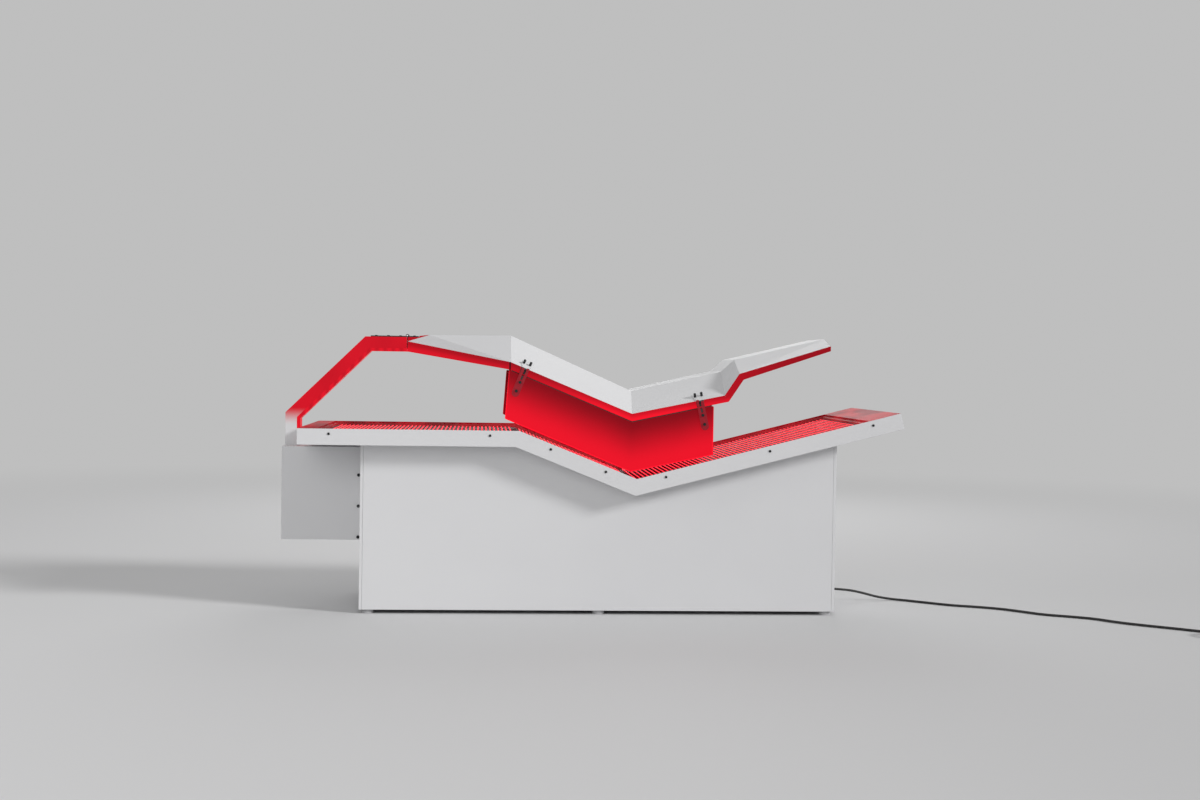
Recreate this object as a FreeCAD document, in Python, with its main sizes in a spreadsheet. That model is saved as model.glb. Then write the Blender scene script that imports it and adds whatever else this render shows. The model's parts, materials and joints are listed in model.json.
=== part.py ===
"""Red light therapy bed: cabinet, V-profile LED deck, foot-end arm and a hinged LED canopy.

Millimetres. +X points to the head end, +Y to the far side and +Z up. The origin is on the
floor, under the middle of the bed.
"""
import FreeCAD, Part
import Sketcher
import math
import os

Vector = FreeCAD.Vector

SIZES = {
    # Deck: a tray folded at the knees and at the hips
    "deck_width": 800,
    "deck_height": 657,
    "knee_x": -258,
    "leg_length": 773,
    "thigh_run": 417,
    "thigh_angle": 21.6,
    "back_length": 973,
    "back_angle": 14.5,
    "rim_depth": 57,
    "rim_wall": 4,
    "tray_floor": 3,
    "foot_margin": 63,
    "head_margin": 115,
    "plate_drop": 2,
    "plate_thickness": 6,
    "seat_gap": 0.3,
    "ledge": 12,
    "led_gap": 8,
    "board_thickness": 4,
    "board_joint": 0.6,
    "rim_screw_radius": 4.5,
    "rim_screw_head": 2,
    "rim_screw_drop": 18,
    # Cabinet
    "cabinet_foot_x": -816,
    "cabinet_length": 1705,
    "deck_overhang": 80,
    "cabinet_sheet": 3,
    "foot_height": 14,
    "cover_return": 10,
    "cover_groove": 0.6,
    "foot_pad_radius": 22,
    "foot_pad_inset": 30,
    "bulkhead_sheet": 4,
    "foot_bulkhead_x": -640,
    "thigh_bulkhead_x": -40,
    "back_bulkhead_x": 640,
    "supply_length": 215,
    "supply_width": 115,
    "supply_height": 50,
    "supply_pitch": 200,
    "supply_inset": 60,
    "control_inset": 30,
    "control_length": 180,
    "control_width": 140,
    "control_height": 70,
    # Cooling fans on the far panel
    "fan_size": 120,
    "fan_depth": 26,
    "fan_wall": 4,
    "fan_bore_radius": 56,
    "fan_blade_radius": 54,
    "fan_hub_radius": 20,
    "fan_blade_sheet": 3,
    "fan_spindle_radius": 4,
    "fan_spindle_gap": 0.05,
    "fan_play": 1,
    "fan_blades": 7,
    "fan_blade_pitch": 38,
    "fan_height": 250,
    "foot_fan_x": -420,
    "head_fan_x": 380,
    # Mains switch and cord gland on the head-end cover
    "switch_y": -80,
    "switch_height": 52,
    "switch_opening_width": 28,
    "switch_opening_height": 20,
    "switch_flange": 4,
    "switch_flange_sheet": 2.5,
    "switch_lip": 1,
    "switch_gap": 1.2,
    "rocker_depth": 10,
    "rocker_proud": 3.5,
    "rocker_tilt": 6,
    "gland_y": 45,
    "gland_height": 50,
    "gland_radius": 13,
    "gland_nut_length": 12,
    "gland_tail_length": 36,
    "gland_tail_radius": 7.5,
    "gland_tail_flare": 2,
    # Foot column and C-shaped arm
    "foot_reach": 84.3,
    "column_width": 220,
    "column_low": 240,
    "column_gap": 20,
    "column_sheet": 3,
    "column_bolt_radius": 6,
    "column_bolt_inset": 20,
    "column_bolt_head": 4,
    "column_bolt_low": 10,
    "column_bolt_pitch": 113.5,
    "arm_inset": 3,
    "arm_width": 70,
    "arm_depth": 42,
    "arm_wall": 4,
    "arm_bend_height": 702,
    "arm_angle": 44.5,
    "arm_top": 986,
    "arm_end_x": -670,
    "arm_cap": 4,
    "arm_board": 3,
    "diffuser_thickness": 12,
    "diffuser_low": 606,
    # Hinge on top of the arm's end
    "seam_gap": 2.5,
    "stop_pad_size": 18,
    "leaf_thickness": 4,
    "leaf_width": 60,
    "fixed_leaf_length": 128,
    "moving_leaf_length": 34,
    "knuckle_radius": 5.5,
    "knuckle_middle": 24,
    "knuckle_play": 0.3,
    "knuckle_lift": 0.4,
    "knuckle_room": 1.5,
    "hinge_pin_radius": 3,
    "hinge_pin_gap": 0.05,
    "hinge_screw_radius": 4,
    "hinge_screw_head": 2,
    # Canopy
    "canopy_width": 560,
    "ridge_width": 300,
    "canopy_sheet": 3,
    "leg_shell_run": 379,
    "neck_length": 28,
    "neck_band": 38,
    "hinge_land": 4,
    "wedge_length": 38,
    "wedge_lift": 8.5,
    "band_height": 27,
    "shell_rise": 88,
    "knee_lift": 9.5,
    "valley_rise": 80,
    "valley_setback": 7.5,
    "shoulder_rise": 86.3,
    "shoulder_setback": 3.7,
    "canopy_thigh_run": 438,
    "canopy_thigh_angle": 22.25,
    "torso_run": 350,
    "torso_angle": 12.1,
    "riser_run": 53,
    "riser_angle": 56.5,
    "head_run": 317,
    "head_angle": 18.8,
    "crown_rise": 51.5,
    "tip_band": 18,
    "tip_rise": 27.4,
    "canopy_diffuser": 5,
    "canopy_diffuser_lift": 2,
    "canopy_board": 3,
    "spine_width": 60,
    "spine_depth": 24,
    # Side panels and their strap hinges
    "panel_sheet": 7,
    "panel_stand_off": 5,
    "panel_gap": 3,
    "panel_clearance": 18.5,
    "panel_valley_shift": 14,
    "panel_foot_overhang": 7,
    "panel_foot_flare": 12,
    "panel_head_inset": 56,
    "panel_corner": 5,
    "foot_strap_inset": 52,
    "head_strap_inset": 106,
    "strap_width": 36,
    "strap_plate_width": 28,
    "strap_sheet": 3,
    "strap_length": 105,
    "strap_slot_end": 42,
    "strap_flange": 23,
    "strap_tab": 38,
    "strap_barrel_radius": 4.2,
    "strap_barrel_middle": 7,
    "strap_barrel_play": 0.4,
    "strap_barrel_proud": 0.3,
    "strap_pin_radius": 2,
    "strap_pin_gap": 0.05,
    "strap_screw_radius": 4.5,
    "strap_screw_head": 14,
    "strap_bolt_radius": 5.5,
    "strap_bolt_head": 4,
    "strap_bolt_first": 50,
    "strap_bolt_second": 83.5,
    # Mains cord
    "cord_diameter": 9,
    "coil_radius": 53.5,
    "coil_height": 18,
    "plug_length": 44,
    "plug_width": 34,
    "plug_height": 26,
    "plug_pin_length": 19,
    "plug_pin_width": 6.5,
    "plug_pin_sheet": 4,
    "plug_pin_spread": 20,
}

# Rim screws along each long side: share of the leg, thigh and back stretches
LEG_SCREWS = (0.142, 0.868)
THIGH_SCREWS = (0.284, 0.752)
BACK_SCREWS = (0.105, 0.497, 0.89)

# Hinge and strap screws: share of the leaf's length, of the strap's width and of its tab
FIXED_LEAF_SCREWS = (0.15, 0.5, 0.85)
MOVING_LEAF_SCREWS = (0.55,)
STRAP_SCREWS = (-1 / 3, 1 / 3)
STRAP_SCREW_RISE = 0.6

# Height of the strap pivots in the canopy's edge band, as a share of it, and start of the wide tab
STRAP_PIVOT_RISE = 0.85
STRAP_TAB_START = 0.2

# Bolts on each side of the foot column, and power supplies in a row
COLUMN_BOLT_ROWS = 3
POWER_SUPPLIES = 3

# Share of a cord's shorter run that an arc takes at each corner
ARC_SHARE = 0.45

# The cord's route from the gland over the floor to the coil, picked by hand
CORD_ROUTE = (
    (937, 45, 50), (985, 48, 47), (1036, 60, 41), (1087, 74, 29), (1136, 84, 15), (1190, 80, 6),
    (1254, 44, 5), (1320, -18, 5), (1394, -82, 5), (1472, -116, 5), (1553, -166, 5), (1612, -236, 5),
    (1668, -310, 5), (1748, -352, 5), (1826, -406, 5), (1874, -486, 5), (1946, -556, 5),
    (2022, -618, 5), (2098, -688, 5), (2172, -742, 5),
)

document = FreeCAD.newDocument("light_bed")
sheet = document.addObject("Spreadsheet::Sheet", "sizes")
for row, (alias, size) in enumerate(SIZES.items(), start=1):
    sheet.set(f"A{row}", str(size))
    sheet.setAlias(f"A{row}", alias)
document.recompute()

NODES = []


def value(expression):
    """Number that an expression over the sheet stands for."""
    return float(sheet.evalExpression(expression))


def size(alias):
    """Driving dimension of the sheet, as a number."""
    return float(sheet.get(alias))


def keep(thing, label):
    """Marks a finished document object as the sub-part named label."""
    thing.Label = label
    NODES.append(thing)
    return thing


def mitre(first, second, depth):
    """Move of a corner between two slopes, in degrees, when its line moves depth to the right."""
    half = f"((({first}) + ({second})) / 2)"
    turn = f"cos((({first}) - ({second})) / 2)"
    return f"({depth}) * sin({half}) / {turn}", f"-({depth}) * cos({half}) / {turn}"


def offset_path(corners, slopes, depth, start_trim="0", end_trim="0"):
    """Corners of a folded line moved depth to its right, with both ends cut square and trimmed."""
    moved = []
    for index, (x, z) in enumerate(corners):
        before = slopes[max(index - 1, 0)]
        after = slopes[min(index, len(slopes) - 1)]
        dx, dz = mitre(before, after, depth)
        moved.append((f"{x} + {dx}", f"{z} + {dz}"))
    x, z = moved[0]
    moved[0] = (f"{x} + ({start_trim}) * cos({slopes[0]})", f"{z} + ({start_trim}) * sin({slopes[0]})")
    x, z = moved[-1]
    moved[-1] = (f"{x} - ({end_trim}) * cos({slopes[-1]})", f"{z} - ({end_trim}) * sin({slopes[-1]})")
    return moved


def folded_strip(path, upper, lower, start_trim="0", end_trim="0"):
    """Closed outline between two depths of a folded line."""
    corners, slopes = path
    top = offset_path(corners, slopes, upper, start_trim, end_trim)
    bottom = offset_path(corners, slopes, lower, start_trim, end_trim)
    return top + bottom[::-1]


def draw_outline(sketch, outline):
    """Adds a closed polygon whose corners are held by expressions."""
    points = [Vector(value(x), value(y), 0) for x, y in outline]
    first = sketch.GeometryCount
    count = len(points)
    for index in range(count):
        sketch.addGeometry(Part.LineSegment(points[index], points[(index + 1) % count]))
    for index in range(count):
        after = first + (index + 1) % count
        sketch.addConstraint(Sketcher.Constraint("Coincident", first + index, 2, after, 1))
    for index, (x, y) in enumerate(outline):
        line = first + index
        across = sketch.addConstraint(Sketcher.Constraint("DistanceX", -1, 1, line, 1, points[index].x))
        sketch.setExpression(f"Constraints[{across}]", x)
        along = sketch.addConstraint(Sketcher.Constraint("DistanceY", -1, 1, line, 1, points[index].y))
        sketch.setExpression(f"Constraints[{along}]", y)


def draw_circle(sketch, x, y, radius):
    """Adds a circle whose centre and radius are held by expressions."""
    centre = Vector(value(x), value(y), 0)
    circle = sketch.addGeometry(Part.Circle(centre, Vector(0, 0, 1), value(radius)))
    for kind, held in (("DistanceX", x), ("DistanceY", y)):
        index = sketch.addConstraint(Sketcher.Constraint(kind, -1, 1, circle, 3, value(held)))
        sketch.setExpression(f"Constraints[{index}]", held)
    index = sketch.addConstraint(Sketcher.Constraint("Radius", circle, value(radius)))
    sketch.setExpression(f"Constraints[{index}]", radius)


def new_sketch(body, name, plane):
    """Sketch on one of the body's own origin planes."""
    sketch = body.newObject("Sketcher::SketchObject", name)
    support = [feature for feature in body.Origin.OriginFeatures if feature.Role == plane][0]
    sketch.AttachmentSupport = [(support, "")]
    sketch.MapMode = "FlatFace"
    return sketch


def profile(label, outline, width, middle="0", plane="XZ_Plane"):
    """Body padded evenly to both sides of a plane from one outline, then moved to its middle."""
    body = document.addObject("PartDesign::Body", label)
    sketch = new_sketch(body, f"{label}_outline", plane)
    draw_outline(sketch, outline)
    pad = body.newObject("PartDesign::Pad", f"{label}_pad")
    pad.Profile = sketch
    pad.Midplane = True
    pad.setExpression("Length", width)
    axis = {"XZ_Plane": "y", "YZ_Plane": "x", "XY_Plane": "z"}[plane]
    body.setExpression(f"Placement.Base.{axis}", middle)
    document.recompute()
    return keep(body, label)


def pocket(body, name, width, outline=None, circles=(), plane="XZ_Plane"):
    """Cuts an outline or circles out of a body, evenly to both sides of a plane."""
    before = body.Shape.Volume
    sketch = new_sketch(body, f"{name}_outline", plane)
    if outline:
        draw_outline(sketch, outline)
    for x, y, radius in circles:
        draw_circle(sketch, x, y, radius)
    cut = body.newObject("PartDesign::Pocket", name)
    cut.Profile = sketch
    cut.Midplane = True
    cut.setExpression("Length", width)
    document.recompute()
    if body.Shape.Volume >= before:
        raise RuntimeError(f"{name} cuts nothing")


def rectangle(low_x, low_y, high_x, high_y):
    """Closed outline of an upright rectangle."""
    return [(low_x, low_y), (high_x, low_y), (high_x, high_y), (low_x, high_y)]


def block(name, lengths, corner):
    """Box with its lowest corner at the given place."""
    box = document.addObject("Part::Box", name)
    for side, length in zip(("Length", "Width", "Height"), lengths):
        box.setExpression(side, length)
    for axis, place in zip("xyz", corner):
        box.setExpression(f"Placement.Base.{axis}", place)
    return box


def rod(name, radius, length, start, direction):
    """Cylinder from a start point along a direction."""
    cylinder = document.addObject("Part::Cylinder", name)
    turn = FreeCAD.Rotation(Vector(0, 0, 1), Vector(*direction))
    cylinder.Placement = FreeCAD.Placement(Vector(0, 0, 0), turn)
    cylinder.setExpression("Radius", radius)
    cylinder.setExpression("Height", length)
    for axis, place in zip("xyz", start):
        cylinder.setExpression(f"Placement.Base.{axis}", place)
    return cylinder


def group(label, members):
    """Identical separate solids that share one node."""
    compound = document.addObject("Part::Compound", label)
    compound.Links = members
    return keep(compound, label)


def boolean(kind, name, base, tool):
    """Part::Cut or Part::Fuse of two objects."""
    result = document.addObject(kind, name)
    result.Base = base
    result.Tool = tool
    return result


def feature(label, shape):
    """Sub-part whose shape is worked out in code from the sheet's sizes."""
    thing = document.addObject("Part::Feature", label)
    thing.Shape = shape
    return keep(thing, label)


def mirrored(shape):
    """Copy of a shape on the other long side."""
    return shape.mirror(Vector(0, 0, 0), Vector(0, 1, 0))


# Folded lines that the pieces follow

DECK_SLOPES = ("0", "-sizes.thigh_angle", "sizes.back_angle")
KNEE_Z = "sizes.deck_height"
VALLEY_X = "(sizes.knee_x + sizes.thigh_run)"
VALLEY_Z = "(sizes.deck_height - sizes.thigh_run * tan(sizes.thigh_angle))"
DECK_CORNERS = (
    ("(sizes.knee_x - sizes.leg_length)", KNEE_Z),
    ("sizes.knee_x", KNEE_Z),
    (VALLEY_X, VALLEY_Z),
    (
        f"({VALLEY_X} + sizes.back_length * cos(sizes.back_angle))",
        f"({VALLEY_Z} + sizes.back_length * sin(sizes.back_angle))",
    ),
)
DECK = (DECK_CORNERS, DECK_SLOPES)

COLUMN_X = "(sizes.knee_x - sizes.leg_length - sizes.foot_reach)"
ARM_X = f"({COLUMN_X} + sizes.arm_inset)"
ARM_SLOPES = ("90", "sizes.arm_angle", "0")
ARM_LOW = "(sizes.column_low + sizes.column_sheet)"
ARM_CORNERS = (
    (ARM_X, ARM_LOW),
    (ARM_X, "sizes.arm_bend_height"),
    (f"({ARM_X} + (sizes.arm_top - sizes.arm_bend_height) / tan(sizes.arm_angle))", "sizes.arm_top"),
    ("sizes.arm_end_x", "sizes.arm_top"),
)
ARM = (ARM_CORNERS, ARM_SLOPES)

SEAM_X = "(sizes.arm_end_x + sizes.seam_gap)"
LAND_X = (
    f"({SEAM_X} - sizes.seam_gap / 2 + sizes.knuckle_radius + sizes.knuckle_room"
    " + sizes.moving_leaf_length + sizes.hinge_land)"
)
CANOPY_KNEE_X = f"({SEAM_X} + sizes.leg_shell_run)"
CANOPY_KNEE_Z = "(sizes.arm_top - sizes.shell_rise - sizes.band_height)"
CANOPY_VALLEY_X = f"({CANOPY_KNEE_X} + sizes.canopy_thigh_run)"
CANOPY_VALLEY_Z = f"({CANOPY_KNEE_Z} - sizes.canopy_thigh_run * tan(sizes.canopy_thigh_angle))"
SHOULDER_X = f"({CANOPY_VALLEY_X} + sizes.torso_run)"
SHOULDER_Z = f"({CANOPY_VALLEY_Z} + sizes.torso_run * tan(sizes.torso_angle))"
CROWN_X = f"({SHOULDER_X} + sizes.riser_run)"
CROWN_Z = f"({SHOULDER_Z} + sizes.riser_run * tan(sizes.riser_angle))"
TIP_X = f"({CROWN_X} + sizes.head_run)"
TIP_Z = f"({CROWN_Z} + sizes.head_run * tan(sizes.head_angle))"
CANOPY_SIDE = "(sizes.canopy_width / 2)"

TRAY_UNDERSIDE = (
    "(sizes.plate_drop + sizes.plate_thickness + sizes.led_gap + sizes.board_thickness + sizes.tray_floor)"
)
CABINET_HEAD_X = "(sizes.cabinet_foot_x + sizes.cabinet_length)"
CABINET_DEPTH = "(sizes.deck_width - 2 * sizes.deck_overhang)"
CABINET_SIDE = f"({CABINET_DEPTH} / 2)"
PAN_TOP = "(sizes.foot_height + sizes.cabinet_sheet)"


def under_tray(x, stretch):
    """Height of the tray floor's underside at x on the leg, thigh or back stretch."""
    corners = offset_path(DECK_CORNERS, DECK_SLOPES, TRAY_UNDERSIDE)
    corner_x, corner_z = corners[{"leg": 1, "thigh": 1, "back": 2}[stretch]]
    slope = DECK_SLOPES[{"leg": 0, "thigh": 1, "back": 2}[stretch]]
    return f"({corner_z}) + (({x}) - ({corner_x})) * tan({slope})"


def folded_sheets(name, upper, lower, start_trim, end_trim, width):
    """One flat sheet on each stretch of the deck, with a narrow joint at each fold."""
    lines = [offset_path(DECK_CORNERS, DECK_SLOPES, depth, start_trim, end_trim) for depth in (upper, lower)]
    for index, stretch in enumerate(("leg", "thigh", "back")):
        half_joint_x = f"sizes.board_joint / 2 * cos({DECK_SLOPES[index]})"
        half_joint_z = f"sizes.board_joint / 2 * sin({DECK_SLOPES[index]})"
        outline = []
        for line in lines:
            (x0, z0), (x1, z1) = line[index], line[index + 1]
            outline.append((f"{x0} + {half_joint_x}", f"{z0} + {half_joint_z}"))
            outline.append((f"{x1} - {half_joint_x}", f"{z1} - {half_joint_z}"))
        top_start, top_end, low_start, low_end = outline
        profile(f"{stretch}_{name}", [top_start, top_end, low_end, low_start], width)


def make_deck():
    """Tray, LED boards, clear top plate and the screws along its rim."""
    tray = profile("deck_tray", folded_strip(DECK, "0", "sizes.rim_depth"), "sizes.deck_width")
    inside = "sizes.deck_width - 2 * sizes.rim_wall"
    plate_seat = "(sizes.plate_drop + sizes.plate_thickness)"
    well_floor = f"({TRAY_UNDERSIDE} - sizes.tray_floor)"
    foot_ledge = "(sizes.foot_margin + sizes.ledge)"
    head_ledge = "(sizes.head_margin + sizes.ledge)"
    recess = folded_strip(DECK, "-1", plate_seat, "sizes.foot_margin", "sizes.head_margin")
    pocket(tray, "plate_recess", inside, recess)
    well = folded_strip(DECK, f"{plate_seat} - 1", well_floor, foot_ledge, head_ledge)
    pocket(tray, "board_well", f"{inside} - 2 * sizes.ledge", well)
    under = folded_strip(DECK, TRAY_UNDERSIDE, "sizes.rim_depth + 1", "sizes.rim_wall", "sizes.rim_wall")
    pocket(tray, "tray_underside", inside, under)

    gap = "sizes.seat_gap"
    foot_trim, head_trim = f"sizes.foot_margin + {gap}", f"sizes.head_margin + {gap}"
    folded_sheets("plate", "sizes.plate_drop", plate_seat, foot_trim, head_trim, f"{inside} - 2 * {gap}")
    board_top = f"({well_floor} - sizes.board_thickness)"
    foot_trim, head_trim = f"{foot_ledge} + {gap}", f"{head_ledge} + {gap}"
    board_width = f"{inside} - 2 * sizes.ledge - 2 * {gap}"
    folded_sheets("board", board_top, well_floor, foot_trim, head_trim, board_width)

    heads = []
    stretches = zip(DECK_CORNERS, DECK_CORNERS[1:], DECK_SLOPES, (LEG_SCREWS, THIGH_SCREWS, BACK_SCREWS))
    for (x0, z0), (x1, z1), slope, shares in stretches:
        for share in shares:
            x = f"{x0} + ({x1} - {x0}) * {share} + sizes.rim_screw_drop * sin({slope})"
            z = f"{z0} + ({z1} - {z0}) * {share} - sizes.rim_screw_drop * cos({slope})"
            for side in (-1, 1):
                start = (x, f"{side} * sizes.deck_width / 2", z)
                name = f"rim_screw_{len(heads)}"
                heads.append(rod(name, "sizes.rim_screw_radius", "sizes.rim_screw_head", start, (0, side, 0)))
    group("rim_screws", heads)


def make_cabinet():
    """Panels, end covers, base pan, feet and the bulkheads that carry the deck."""
    low = "sizes.foot_height"
    foot_x = "sizes.cabinet_foot_x + sizes.cover_return + sizes.cover_groove"
    head_x = f"{CABINET_HEAD_X} - sizes.cover_return - sizes.cover_groove"
    corners = offset_path(DECK_CORNERS, DECK_SLOPES, TRAY_UNDERSIDE)
    outline = [
        (foot_x, low),
        (head_x, low),
        (head_x, under_tray(head_x, "back")),
        corners[2],
        corners[1],
        (foot_x, under_tray(foot_x, "leg")),
    ]
    panel_middle = f"({CABINET_SIDE} - sizes.cabinet_sheet / 2)"
    profile("near_panel", outline, "sizes.cabinet_sheet", f"-{panel_middle}")
    far_panel = profile("far_panel", outline, "sizes.cabinet_sheet", panel_middle)
    vents = []
    for x in ("sizes.foot_fan_x", "sizes.head_fan_x"):
        vents.append((x, "sizes.fan_height", "sizes.fan_bore_radius"))
    pocket(far_panel, "fan_openings", "4 * sizes.cabinet_sheet", circles=vents)

    covers = (
        ("foot_cover", "sizes.cabinet_foot_x", "leg", 1),
        ("head_cover", CABINET_HEAD_X, "back", -1),
    )
    for name, outer, stretch, inward in covers:
        inner = f"{outer} + {inward} * sizes.cover_return"
        skin = f"{outer} + {inward} * sizes.cabinet_sheet"
        inner_top, outer_top = under_tray(inner, stretch), under_tray(outer, stretch)
        cover = [(outer, low), (inner, low), (inner, inner_top), (outer, outer_top)]
        body = profile(name, cover, CABINET_DEPTH)
        past = f"{inner} + {inward}"
        hollow = rectangle(skin, f"{low} - 1", past, f"{KNEE_Z} + sizes.rim_depth")
        pocket(body, f"{name}_hollow", f"{CABINET_DEPTH} - 2 * sizes.cabinet_sheet", hollow)
        if name == "head_cover":
            cut = f"2 * ({CABINET_HEAD_X} + sizes.cover_return)"
            half = "sizes.switch_opening_width / 2"
            tall = "sizes.switch_opening_height / 2"
            middle_y, middle_z = "sizes.switch_y", "sizes.switch_height"
            opening = rectangle(
                f"{middle_y} - {half}", f"{middle_z} - {tall}", f"{middle_y} + {half}", f"{middle_z} + {tall}"
            )
            pocket(body, "switch_opening", cut, opening, plane="YZ_Plane")
            entry_radius = "sizes.gland_tail_radius + sizes.cabinet_sheet / 2"
            entry = [("sizes.gland_y", "sizes.gland_height", entry_radius)]
            pocket(body, "cord_entry", cut, circles=entry, plane="YZ_Plane")

    inside = f"({CABINET_DEPTH} - 2 * sizes.cabinet_sheet)"
    pan = rectangle(
        "sizes.cabinet_foot_x + sizes.cabinet_sheet", low, f"{CABINET_HEAD_X} - sizes.cabinet_sheet", PAN_TOP
    )
    profile("base_pan", pan, inside)

    feet = []
    for x in (
        "sizes.cabinet_foot_x + sizes.foot_pad_inset",
        "sizes.cabinet_foot_x + sizes.cabinet_length / 2",
        f"{CABINET_HEAD_X} - sizes.foot_pad_inset",
    ):
        for side in (-1, 1):
            y = f"{side} * ({CABINET_SIDE} - sizes.foot_pad_inset)"
            feet.append(rod(f"foot_{len(feet)}", "sizes.foot_pad_radius", low, (x, y, "0"), (0, 0, 1)))
    group("feet", feet)

    for name, x, stretch in (
        ("foot_bulkhead", "sizes.foot_bulkhead_x", "leg"),
        ("thigh_bulkhead", "sizes.thigh_bulkhead_x", "thigh"),
        ("back_bulkhead", "sizes.back_bulkhead_x", "back"),
    ):
        far_x = f"{x} + sizes.bulkhead_sheet"
        top, far_top = under_tray(x, stretch), under_tray(far_x, stretch)
        outline = [(x, PAN_TOP), (far_x, PAN_TOP), (far_x, far_top), (x, top)]
        profile(name, outline, inside)


def make_electrics():
    """Power supplies, control unit, fans, mains switch and cord gland."""
    supplies = []
    first_supply = "sizes.thigh_bulkhead_x + sizes.bulkhead_sheet + sizes.supply_inset"
    for index in range(POWER_SUPPLIES):
        corner = (
            f"{first_supply} + {index} * sizes.supply_pitch",
            f"-{CABINET_SIDE} + sizes.cabinet_sheet + sizes.supply_inset",
            PAN_TOP,
        )
        lengths = ("sizes.supply_width", "sizes.supply_length", "sizes.supply_height")
        supplies.append(block(f"supply_{index}", lengths, corner))
    group("led_power_supplies", supplies)
    lengths = ("sizes.control_length", "sizes.control_width", "sizes.control_height")
    control_x = "sizes.back_bulkhead_x + sizes.bulkhead_sheet + sizes.control_inset"
    corner = (control_x, "-sizes.control_width / 2", PAN_TOP)
    keep(block("control_unit", lengths, corner), "control_unit")

    housings = []
    for name, x in (("foot_fan", "sizes.foot_fan_x"), ("head_fan", "sizes.head_fan_x")):
        housing, rotor = fan_shapes(value(x))
        housings.append(housing)
        feature(f"{name}_rotor", rotor)
    feature("fan_housings", Part.makeCompound(housings))

    outer_x = CABINET_HEAD_X
    half = "sizes.switch_opening_width / 2"
    tall = "sizes.switch_opening_height / 2"
    middle_y, middle_z = "sizes.switch_y", "sizes.switch_height"
    edge = "sizes.switch_flange"
    lip = "sizes.switch_lip"
    flange = rectangle(
        f"{middle_y} - {half} - {edge}", f"{middle_z} - {tall} - {edge}",
        f"{middle_y} + {half} + {edge}", f"{middle_z} + {tall} + {edge}",
    )
    sheet_x = f"{outer_x} + sizes.switch_flange_sheet / 2"
    bezel = profile("switch_bezel", flange, "sizes.switch_flange_sheet", sheet_x, "YZ_Plane")
    hole = rectangle(
        f"{middle_y} - {half} + {lip}", f"{middle_z} - {tall} + {lip}",
        f"{middle_y} + {half} - {lip}", f"{middle_z} + {tall} - {lip}",
    )
    pocket(bezel, "rocker_hole", "4 * sizes.switch_flange_sheet", hole, plane="YZ_Plane")

    half_length = f"({tall} - {lip} - sizes.switch_gap)"
    proud = "sizes.rocker_proud"
    outline = [
        (f"{proud} - sizes.rocker_depth", f"-{half_length}"),
        (proud, f"-{half_length}"),
        (f"{proud} - {half_length} * tan(sizes.rocker_tilt)", "0"),
        (proud, half_length),
        (f"{proud} - sizes.rocker_depth", half_length),
    ]
    rocker = document.addObject("PartDesign::Body", "switch_rocker")
    sketch = new_sketch(rocker, "switch_rocker_outline", "XZ_Plane")
    draw_outline(sketch, outline)
    pad = rocker.newObject("PartDesign::Pad", "switch_rocker_pad")
    pad.Profile = sketch
    pad.Midplane = True
    pad.setExpression("Length", f"sizes.switch_opening_width - 2 * {lip} - 2 * sizes.seat_gap")
    rocker.Placement = FreeCAD.Placement(Vector(0, 0, 0), FreeCAD.Rotation(Vector(0, 1, 0), 0))
    rocker.setExpression("Placement.Base.x", outer_x)
    rocker.setExpression("Placement.Base.y", middle_y)
    rocker.setExpression("Placement.Base.z", middle_z)
    rocker.setExpression("Placement.Rotation.Angle", "sizes.rocker_tilt")
    keep(rocker, "switch_rocker")

    nut = rod(
        "gland_nut", "sizes.gland_radius", "sizes.gland_nut_length",
        (outer_x, "sizes.gland_y", "sizes.gland_height"), (1, 0, 0),
    )
    tail = document.addObject("Part::Cone", "gland_tail")
    tail.Placement = FreeCAD.Placement(Vector(0, 0, 0), FreeCAD.Rotation(Vector(0, 0, 1), Vector(1, 0, 0)))
    tail.setExpression("Radius1", "sizes.gland_tail_radius + sizes.gland_tail_flare")
    tail.setExpression("Radius2", "sizes.gland_tail_radius")
    tail.setExpression("Height", "sizes.gland_tail_length")
    tail.setExpression("Placement.Base.x", f"{outer_x} + sizes.gland_nut_length")
    tail.setExpression("Placement.Base.y", "sizes.gland_y")
    tail.setExpression("Placement.Base.z", "sizes.gland_height")
    keep(boolean("Part::Fuse", "cord_gland", nut, tail), "cord_gland")


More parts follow.
